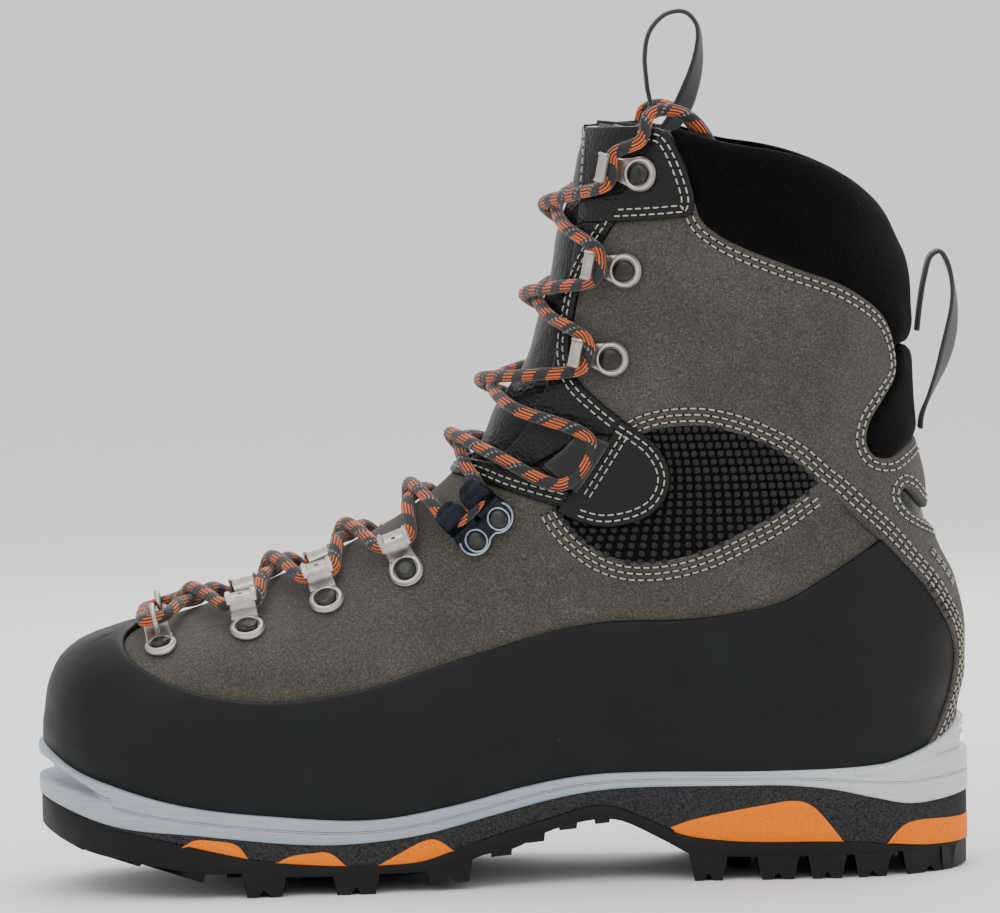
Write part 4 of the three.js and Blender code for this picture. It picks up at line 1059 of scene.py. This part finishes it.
def tongue_relief(x, z, distance):
    """Padding swells between the lace crossings, and a big pad covers the instep."""
    swell = 0.55 * np.sin((z - 150) * math.pi / 15) * ease(150, 160, z)
    edge = FACING_FRONT[::-1]
    beside = np.interp(z, edge[:, 1], edge[:, 0]) - x
    return (swell - 3.2 * (1 - ease(-3, 5, beside)) - 1.0 * (1 - ease(2, 12, beside))) * ease(0, 6, distance)


tongue = patch("tongue_pad", "leather", tongue_region, -1.5, -10.2, edge=(2.6, 2.6), rings=(0.4, 1.2, 2.6),
               spacing=2.2, relief=tongue_relief, body="tongue_body", slot="leather", replaces=["tongue"])

# ---- Overlays ----
strip_region = region(
    curve([(-60, 143.5), (-12, 141.4), (14.4, 139.6)]),
    curve([(24.4, 130.6), (22.6, 126.6), (4, 131.4), (-10, 135.6), (-60, 139)]),
)
patch("instep_strip", "leather", strip_region, 1.7, 0, edge=(0.7, 0.7), slot="leather",
      replaces=["instep_band"])
facing_region = region(
    FACING_FRONT[6:] + [0.3, 0], [(12, 140), (30, 150)], FACING_REAR[::-1],
    [(41, 222.6), (48, 222.4), (47, 232), (34, 236)],
)
top_region = region([(33.4, 252.4), (50, 253)], HOOK_PATCH, [(31, 220.6)], [(33.4, 240)])
OVERLAYS = [
    ("facing_strip", facing_region, 1.5, 0, "facing"),
    ("top_patch", top_region, 2.1, 0.2, "hook_patch"),
    ("ankle_pad", region(ANKLE_PATCH, [(23, 130), (31, 140)]), 2.1, 0.2, "ankle_patch"),
]
slot_region = region(SLOT, [(BEHIND, 104.8), (BEHIND, 114.2)])
for side, label in SIDES:
    for name, covered, outer, inner, node in OVERLAYS:
        patch(f"{name}_{label}", "leather", covered, outer, inner, sides=(side,), slot="leather",
              replaces=[f"{node}_{label}"])
    patch(f"slot_trim_{label}", "plastic", slot_region, 1.0, 0.2, sides=(side,), slot="plastic",
          edge=(1.4, 0.6), rings=(0.5, 1.4), spacing=1.6)
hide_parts("heel_slot_trim")

# ---- Stitch rows ----
TRIPLE, DOUBLE = (1.9, 4.0, 6.1), (2.0, 4.1)
rows(np.vstack([FLEX_UPPER[::-1][14:], BAND_EDGE[1:-6]]), TRIPLE, on_band)
rows(FLEX_LOWER[3:-2], TRIPLE, 0.15, -1)
rows(CUFF_TOP[30:-2], DOUBLE, on_band, -1)
rows(SLOT[16:-19], DOUBLE, on_band, -1)
# The rear rows of the heel band run down beside its middle.
rows(BAND_EDGE[47:66], (12.4, 14.5), on_band)
rows(HOOK_PATCH, DOUBLE, 2.2, -1)
rows(ANKLE_PATCH[:-6], DOUBLE, 2.2, -1)
rows(FACING_REAR[:-8], DOUBLE, 1.6, -1)
sew(FACING_FRONT[8:36], 2.2, 2.0)
rows(curve([(42, 151), (27, 128)]), (0, 2.0), 2.2)
rows(curve([(-40, 138), (-10, 137.6), (4, 133.4), (24, 128)]), (0, 2.0), 1.8, 1)
sew([(32, 249), (41, 250)], -0.9, body="tongue_body")
for body in ("boot", "tongue_body"):
    label = "" if body == "boot" else "tongue_"
    piece(f"{label}stitches", *gather(stitches[body]), "thread", body=body)
    piece(f"{label}needle_hole_shades", *gather(needle_hole_shades[body]), "hole", body=body)

# ---- Lace hardware ----
PLATE, LOOP_BORE, LACE_REACH, EYE_WIDTH = 1.2, 3.0, 9.0, 7.0
TOE_RING, RING_WIRE = 4.7, 0.9
SHEET = 1.1  # the thickness of the sheet metal
RIM, RIVET = (4.75, 0.95), (3.7, 1.9)  # a rim's two radii, and a rivet's radius and height
LOBE, RIM_WIRE = 5.2, 0.42  # how far the locking hook's rivets stand from its middle, and its worn rims' radius
LACE, GAP = 4.2, 0.3
EYE_HEIGHT = PLATE + LOOP_BORE
RING_HEIGHT = TOE_RING + RING_WIRE / 2
ON_LEATHER, ON_PATCH = 0.8, 2.5
STRAIGHT = EYE_WIDTH / 2 + 1.4
STATIONS = [
    {"kind": "toe_clip", "spot": (-114, 82.6), "lean": 0.3, "lift": ON_LEATHER, "run": 3.8},
    *(
        {"kind": f"loop_eyelet_{i + 1}", "spot": spot, "lean": 0.34, "lift": ON_LEATHER, "run": STRAIGHT}
        for i, spot in enumerate([(-85, 87.5), (-58.5, 96), (-31.5, 105.5)])
    ),
    {"kind": "lock_hook", "spot": (-4, 119), "lean": 0.75, "lift": ON_LEATHER, "run": STRAIGHT + 1.5},
    {"kind": None, "spot": (26.5, 141.5), "lean": 1.0, "lift": 2.5, "run": 9, "beneath": 2.0, "edge": 3.4},
    *(
        {"kind": f"open_hook_{i + 1}", "spot": spot, "lean": 1.35, "lift": lift, "run": STRAIGHT,
         "beneath": below}
        for i, (spot, lift, below) in enumerate([
            ((39, 175.5), ON_LEATHER, 1.6), ((44.2, 205), ON_LEATHER, 0.3), ((50.5, 237), ON_PATCH, 0.3),
        ])
    ),
]


def seat(station, side):
    """A frame on the surface: X runs up along the facing, Y points to the lace and Z stands off."""
    x, z = (np.array([v], float) for v in station["spot"])
    angle = side * angle_of(Upper, x, z)
    normal = Vector(skin_normal(angle, z)[0])
    up = Vector((math.cos(station["lean"]), 0, math.sin(station["lean"])))
    to_lace = normal.cross(up).normalized() * -side
    rise = to_lace.cross(normal)
    origin = Vector(skin(angle, z)[0]) + normal * station["lift"]
    return np.column_stack([rise, to_lace, normal, origin])


def placed(seated, points):
    return np.asarray(points, float) @ seated[:, :3].T + seated[:, 3]


def strip(path, widths, thickness, centre=0.0):
    """Sheet metal that follows a line in the YZ plane, with its corners taken off."""
    path = np.array(path, float)
    run = unit(np.gradient(path, axis=0))
    normal = np.stack([-run[:, 1], run[:, 0]], -1)
    cut = thickness * 0.3
    sections = []
    for n, width in zip(normal, widths):
        a, b = width / 2, thickness / 2
        corners = [(a - cut, b), (a, b - cut), (a, cut - b), (a - cut, -b)]
        corners += [(-u, v) for u, v in corners[::-1]]
        sections.append([(centre + c[0], n[0] * c[1], n[1] * c[1]) for c in corners])
    centres = np.column_stack([np.zeros(len(path)), path])
    return sweep(centres, np.array(sections))


def arc(y, z, radius, start, end, count, tall=None):
    """Points of a circle between two angles in degrees, or of an ellipse."""
    turn = np.radians(np.linspace(start, end, count))
    return [(y + radius * math.cos(t), z + (tall or radius) * math.sin(t)) for t in turn]


def sheet_plate(outline, thickness):
    """A flat plate of an outline in the XY plane with a rounded upper edge."""
    p = np.array(outline, float)
    inward = inward_of(p)
    levels = ((0, 0), (0, 0.6), (0.15, 0.88), (0.4, 1))
    rings = [np.column_stack([p + inward * by, np.full(len(p), z)]) for by, z in np.array(levels) * thickness]
    return np.vstack(rings), tube(4, len(p))


UPRIGHT = np.array([[0, 0, 1.0]])


def ring_of(radius, wire, x=0.0, y=0.0, z=0.0, squeeze=1.0, axis="z", count=40):
    turn = circle(count)
    out = np.stack([np.cos(turn), np.sin(turn), 0 * turn], -1)
    vertices, faces = sweep(out * radius, wire * round_about(circle(10), out, UPRIGHT), closed=True)
    vertices[:, 1] *= squeeze
    if axis == "x":
        vertices = vertices[:, [2, 0, 1]]
    return vertices + [x, y, z], faces


def dome(radius, height, x=0.0, y=0.0, z=0.0, squeeze=1.0, count=28):
    turn = circle(count)
    around = np.column_stack([np.cos(turn), squeeze * np.sin(turn)]) * radius
    levels = ((1, -0.6), (1, 0.35), (0.95, 0.66), (0.8, 0.88), (0.5, 0.98), (0.2, 1.0))
    rings = [np.column_stack([around * r + [x, y], np.full(count, z + height * h)]) for r, h in levels]
    return np.vstack(rings), tube(6, count)


def teardrop(radius, neck, length):
    """The outline of a plate: round under the rivet and narrower towards the lace."""
    half = neck / 2
    shoulder = radius * 0.88
    ends = [(half + 0.35, shoulder), (half, length), (-half, length), (-half - 0.35, shoulder)]
    return arc(0, 0, radius, 145, 395, 30) + ends


def bent(start, radius, end, count, tail, length, mouth, squeeze=1.0):
    """A riveted plate that bends round the lace's way: the start, an arc to an angle, and the tail."""
    path = start + arc(LACE_REACH, EYE_HEIGHT, radius, -90, end, count) + tail
    widths = np.interp(np.linspace(0, 1, len(path)), [0, 0.35, 1], [7.6, 7.6, mouth])
    plate = sheet_plate(teardrop(5.9, 8.0, length), SHEET)
    return [plate, ring_of(*RIM, z=1.0, squeeze=squeeze), strip(path, widths, SHEET)]


def hook_parts():
    tail = [(12.5, 6.4), (12.1, 7.3), (11.2, 8.0), (8.6, 8.5)]
    end = [(12.9, 5.6), (12.3, 7.7), (11.3, 8.5), (8.9, 9.0)]
    ends = [strip(end, [1.1] * 4, 1.3, centre=s * 4.4) for s in BOTH]
    crease = strip([(12.3, 7.6), (11.6, 8.2)], [8.6, 8.6], 0.5)
    hook = bent([(4.5, 0.6), (7.5, 0.55)], LOOP_BORE + 0.6, 28, 10, tail, 6.5, 9.6)
    return [*hook, *ends, crease], [dome(*RIVET, z=1.0)]


def loop_parts():
    ear = [(6.0, 6.5), (8.2, 7.8), (10.6, 8.2), (12.4, 6.8)]
    ears = [strip(ear, [1.6, 2.2, 2.0, 1.2], 1.2, centre=s * 4.3) for s in BOTH]
    slots = [dome(1.3, 0.5, y=9.2, z=7.75, squeeze=0.45), dome(0.9, 0.5, y=5.4, z=2.7, squeeze=0.5)]
    tail = [(5.4, 2.4), (4.6, 1.3)]
    loop = bent([(4.0, 0.6), (7.0, 0.55)], LOOP_BORE + 0.5, 176, 18, tail, 6.0, 9.2, 0.96)
    return [*loop, *ears], [dome(*RIVET, z=1.0), *slots]


def clip_parts():
    path = curve([(3.0, 0.6), (6.0, 0.7), (8.2, 1.8), (9.3, 3.4), (8.9, 5.0)], 0.6)
    plate = sheet_plate(teardrop(5.4, 8.4, 6.0), SHEET)
    ring = ring_of(TOE_RING, RING_WIRE, y=LACE_REACH, z=RING_HEIGHT, axis="x", count=48)
    bend = strip(path, np.full(len(path), 8.4), SHEET)
    return [plate, ring_of(4.2, 0.8, z=1.05, squeeze=0.85), bend, ring], [dome(3.3, 1.8, z=1.0, squeeze=0.8)]


def lock_parts():
    """Two riveted lobes that each run up into a wing over the lace."""
    lobes = arc(-LOBE, 0, 5.6, 165, 320, 16, 5.4) + arc(LOBE, 0, 5.6, 220, 375, 16, 5.4)
    outline = curve(lobes + [(10.6, 4), (9.4, 6.2), (0, 6.4), (-9.4, 6.2), (-10.6, 4)], 0.8, closed=True)
    wing = curve([(3.6, 0.9), (5.6, 1.6), (7.0, 4.4), (7.8, 7.0), (9.6, 8.0), (12.5, 7.9), (14.6, 6.6)], 0.7)
    widths = np.interp(np.linspace(0, 1, len(wing)), [0, 0.4, 0.75, 0.92, 1], [9.6, 9.9, 9.4, 7.6, 4.6])
    wings = [strip(wing, widths, 1.4, centre=s * 5.35) for s in BOTH]
    studs = [dome(3.0, 1.3, x=s * LOBE, y=-0.6, z=1.3, squeeze=1.15) for s in BOTH]
    return [sheet_plate(outline, 1.6), *wings], studs


def lock_rims():
    """The worn edges round the locking hook's rivets and along its lobes."""
    lobes = arc(-LOBE, 0, 5.3, 150, 318, 18, 5.1) + arc(LOBE, 0, 5.3, 222, 390, 18, 5.1)
    rim = curve([(x, y, 1.6) for x, y in lobes], 0.7)
    across = np.cross(unit(np.gradient(rim, axis=0)), UPRIGHT)
    bead = sweep(rim, RIM_WIRE * round_about(circle(8), across, UPRIGHT))
    return [bead] + [ring_of(3.5, RIM_WIRE, x=s * LOBE, y=-0.6, z=1.65, squeeze=1.12) for s in BOTH]


BUILDERS = {"toe_clip": clip_parts, "loop": loop_parts, "open": hook_parts, "lock": lock_parts}
for station in STATIONS:
    if not station["kind"]:
        continue
    kind = station["kind"]
    sheet_metal, studs = next(make for key, make in BUILDERS.items() if kind.startswith(key))()
    finish = "enamel" if kind == "lock_hook" else "steel"
    for side, label in SIDES:
        flip = np.array([1, 1, 1]) if side == NEAR else np.array([-1, 1, 1])
        every = [(sheet_metal, finish, "metal"), (studs, "rivet", "rivet")]
        if kind == "lock_hook":
            every.append((lock_rims(), "worn", "rim"))
        for parts, material, suffix in every:
            v, f = gather(parts)
            piece(f"{kind}_{label}_{suffix}", placed(seat(station, side), v * flip), f, material, flat=42,
                  slot="enamel" if finish == "enamel" and suffix == "metal" else "steel",
                  replaces=[f"{kind}_{label}"] if suffix == "metal" else ())

# ---- The lace ----
SHOULDER_LIFT, CROSSING_LIFT = 5.4, 2.6
LACE_ROOM = LACE / 2 + 0.4


def lace_place(station, side, end):
    kind = station["kind"]
    reach = LACE_REACH if kind else 0
    height = EYE_HEIGHT if kind else 0.4 + LACE_ROOM
    if kind == "toe_clip":
        height = RING_HEIGHT + 0.6
    return placed(seat(station, side), [(-side * end * station["run"], reach, height)])[0]


def over_boot(a, b, share, lift):
    point = a + (b - a) * share
    shaft = float(ease(112, 150, point[2]))
    core = np.array([point[0] + 16 + 26 * shaft, float(middle(point[0])), point[2] - 42 + 34 * shaft])
    ray = unit(point - core)
    near, far = 0.0, 140.0
    for _ in range(30):
        reach = (near + far) / 2
        x, y, z = core + ray * reach
        if x > front_at(z) and abs(y - middle(x)) < half_width(x, z):
            near = reach
        else:
            far = reach
    return core + ray * (near + lift)


TUCKED = LINING[1] - LACE / 2 - 1.2
LACE_END = [
    ((52.5, 248), 5.6), ((54, 256.6), 1.9), ((60, 258), -6), ((70, 250), TUCKED), ((80, 228), TUCKED),
    ((84, 200), TUCKED), ((85, 170), TUCKED),
]


def strand(start):
    points = []
    for i, station in enumerate(STATIONS):
        side = start * (-1) ** i
        if i:
            before = STATIONS[i - 1]
            a, b = lace_place(before, -side, 1), lace_place(station, side, -1)
            shaft = float(ease(150, 175, a[2]))
            points.append(over_boot(a, b, 0.25, SHOULDER_LIFT - 2 * shaft + before.get("edge", 0)))
            lift = CROSSING_LIFT - 2.2 * shaft + station.get("beneath", 0) + (LACE + GAP / 2) * (side < 0)
            points.append(over_boot(a, b, 0.5, lift))
            points.append(over_boot(a, b, 0.75, SHOULDER_LIFT - 2 * shaft + station.get("edge", 0)))
        points += [lace_place(station, side, -1), lace_place(station, side, 1)]
    side = start * (-1) ** (len(STATIONS) - 1)
    for spot, lift in LACE_END:
        points.append(on(Upper, [spot], side, lift)[0])
    return points


def uniform_curve(points, count):
    """A uniform Catmull-Rom curve, as the CAD lace follows."""
    p = np.array(points)
    p = np.vstack([2 * p[0] - p[1], p, 2 * p[-1] - p[-2]])
    t = np.linspace(0, 1, count, endpoint=False)[:, None]
    found = [
        0.5 * (2 * b + (c - a) * t + (2 * a - 5 * b + 4 * c - d) * t**2 + (3 * b - a - 3 * c + d) * t**3)
        for a, b, c, d in zip(p, p[1:], p[2:], p[3:])
    ]
    return np.vstack([*found, p[-2:-1]])


YARN_PITCH, PATTERN_PITCH = 1.3, 10.6


def braid(route, radius, step=0.5, around=24):
    """A braided cord: rings along its route, with raised yarns, and the finish of each face."""
    s, centre, run = along(route, step)
    side = unit(np.cross(run[0], [0, 0, 1.0]))
    sides = []
    for direction in run:
        side = unit(side - direction * (side @ direction))
        sides.append(side)
    sides = np.array(sides)
    j = np.arange(around)[None, :]
    yarns = 1 + 0.045 * np.cos(math.pi * j)
    yarns = yarns + 0.03 * np.sin(2 * math.pi * s[:, None] / YARN_PITCH + math.pi * (j // 2 % 2))
    disc = round_about(2 * math.pi * j[0] / around, sides, np.cross(run, sides))
    vertices, faces = sweep(centre, radius * yarns[..., None] * disc)
    phase = (s[:-1, None] / PATTERN_PITCH + j / around) % 1
    orange = (phase < 0.5) & (j % 2 == 0)
    picks = np.arange(len(s) - 1)[:, None] // 2
    fleck = (phase > 0.55) & (j % 2 == 1) & ((picks + 5 * j) % 9 == 0)
    return vertices, faces, np.concatenate([(orange + 2 * fleck).ravel().astype(int), [0, 0]])


near_strand, far_strand = strand(NEAR), strand(FAR)
front_point = over_boot(near_strand[0], far_strand[0], 0.5, CROSSING_LIFT + 1.9)
lace_route = uniform_curve(near_strand[::-1] + [front_point] + far_strand, 14)
vertices, faces, colors = braid(lace_route, LACE / 2)
piece("braided_lace", vertices, faces, ["lace", "lace_orange", "fleck"], slot="lace", replaces=["lace"],
      slots=colors)

# ---- Webbing ----
def tape(route, across, width, thickness, step=0.45):
    """A woven tape with ribs across it. across gives the width's direction at each share of its length."""
    s, centre, run = along(route, step)
    wide = across(s / measured(route)[-1])
    wide = unit(wide - run * np.sum(wide * run, axis=1, keepdims=True))
    normal = np.cross(run, wide)
    shares = np.linspace(-1, 1, 9)
    rib = 1 + 0.16 * np.cos(math.pi * np.arange(len(s)))[:, None] * np.ones(9)
    bulge = thickness / 2 * (1 - 0.35 * np.abs(shares) ** 6) * rib
    top = wide[:, None] * (shares * width / 2)[None, :, None] + normal[:, None] * bulge[..., None]
    low = wide[:, None] * (shares[::-1] * width / 2)[None, :, None] - normal[:, None] * bulge[:, ::-1, None]
    return sweep(centre, np.concatenate([top, low], 1))


FRONT_LOOP = [
    (38.6, 226), (39.7, 238), (45.5, 247), (54, 257), (53.3, 266), (52.8, 276), (54.6, 284), (60, 289.6),
    (66.5, 290.4), (70.6, 286), (71, 277), (68.4, 266), (62.5, 254), (51, 243.5), (43.4, 235), (40.2, 227),
]
REAR_LOOP = [
    (142.8, 181), (143.8, 189), (145.6, 199), (148, 206.2), (151, 207.6), (153.8, 203), (155.5, 192),
    (154.4, 181), (151.4, 170), (147.2, 160), (144, 152.5), (143.2, 147.5),
]


def loop_of(points, y):
    side = curve(points, 1.0)
    return np.column_stack([side[:, 0], np.full(len(side), y), side[:, 1]])


def twisted(swing, start):
    """The tape's width lies across the boot, and turns by an angle and back after a share of its length."""
    def across(share):
        half = (start + 1) / 2
        turn = swing * ease(start, half, share) * (1 - ease(half, 1, share))
        return np.column_stack([np.sin(turn), np.cos(turn), 0 * turn])
    return across


LOOP_WIDTH, LOOP_THICKNESS = 14, 1.5
for end, line, x, swing, start, body in (
    ("front", FRONT_LOOP, 50.0, 0.5, 0.5, "front_loop_body"), ("rear", REAR_LOOP, 145.0, 0.35, 0.35, "boot"),
):
    looped = tape(loop_of(line, float(middle(x))), twisted(swing, start), LOOP_WIDTH, LOOP_THICKNESS)
    piece(f"{end}_loop_tape", *looped, "webbing", body=body, slot="webbing", replaces=[f"{end}_pull_loop"])

keeper = region(
    curve([(27.5, 151), (37.5, 147.5)]), curve([(37.5, 147.5), (32, 139), (26, 131)]),
    curve([(16, 140), (22, 145), (27.5, 151)]),
)
for side, label in SIDES:
    patch(f"lace_tape_{label}", "black_webbing", keeper, 7.4, 1.0, sides=(side,), edge=(3.2, 5.2),
          rings=(0.3, 0.9, 2, 3.2), spacing=1.6, slot="webbing", replaces=[f"lace_keeper_{label}"])

# ---- Footbed ----
def footbed():
    angles = circle(240)
    level = np.full(len(angles), 34.0)
    outline = (skin(angles, level) + skin_normal(angles, level) * (LINING[1] - 1.8))[:, :2]
    points, faces, distance = filled(outline, 5, (0.6, 2, 5))
    lift = frame_top(np.clip(points[:, 0], -140, 138)) + 2.6
    dish = 1.4 * (1 - ease(0, 16, distance))
    return slab(points, faces, lift + 3.6 + dish - 1.2 * (1 - ease(0, 2, distance)), lift)


bed = piece("footbed_pad", *footbed(), "fleece", body="footbed_body", slot="fleece", replaces=["footbed"])

# ---- CAD pieces that stay ----
for node, finish in (
    ("shank", "steel"), ("insole_board", "board"), ("aglet_near", "plastic"), ("aglet_far", "plastic"),
):
    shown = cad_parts[node]
    shown.data.materials.clear()
    shown.data.materials.append(MATERIALS[finish])

# ---- Stage, light and camera ----
floor = bpy.data.objects.new("floor", bpy.data.meshes.new("floor"))
bpy.context.scene.collection.objects.link(floor)
FLOOR = 90  # half its side in metres, so that its far edge stays out of view
corners = [(x * FLOOR, y * FLOOR, 0) for x, y in ((-1, -1), (1, -1), (1, 1), (-1, 1))]
floor.data.from_pydata(corners, [], [(0, 1, 2, 3)])
floor.data.materials.append(Nodes("floor_paint").finish("#f4f4f3", 0.9))

world = bpy.data.worlds.new("studio")
bpy.context.scene.world = world
world.use_nodes = True
world.node_tree.nodes["Background"].inputs["Color"].default_value = (1, 1, 1, 1)
world.node_tree.nodes["Background"].inputs["Strength"].default_value = 1.15


def softbox(name, place, target, size, power):
    data = bpy.data.lights.new(name, "AREA")
    data.shape, data.size, data.energy = "DISK", size, power
    light = bpy.data.objects.new(name, data)
    light.location = place
    light.rotation_euler = (Vector(target) - Vector(place)).to_track_quat("-Z", "Y").to_euler()
    bpy.context.scene.collection.objects.link(light)


softbox("key", (-0.55, -1.0, 1.15), (0, 0, 0.1), 0.7, 5)
softbox("fill", (0.9, -0.9, 0.5), (0, 0, 0.1), 0.8, 1.5)
softbox("top", (0.1, 0.2, 1.3), (0, 0, 0.1), 0.9, 7)
softbox("rim", (0.2, 1.0, 0.7), (0, 0, 0.15), 0.8, 4)

CAMERA_DISTANCE, VIEW_WIDTH, ELEVATION, ROLL = 2.4, 0.336, math.radians(4), math.radians(1.36)
aim = Vector((0.0007, -0.02, 0.1429))
lens = bpy.data.cameras.new("camera")
lens.sensor_width = 36
lens.lens = 36 * CAMERA_DISTANCE / VIEW_WIDTH
camera = bpy.data.objects.new("camera", lens)
bpy.context.scene.collection.objects.link(camera)
back_off = Vector((0, -math.cos(ELEVATION), math.sin(ELEVATION)))
camera.location = aim + back_off * CAMERA_DISTANCE
camera.rotation_mode = "QUATERNION"
level_turn = (-back_off).to_track_quat("-Z", "Y")
camera.rotation_quaternion = level_turn @ Matrix.Rotation(-ROLL, 3, "Z").to_quaternion()
bpy.context.scene.camera = camera
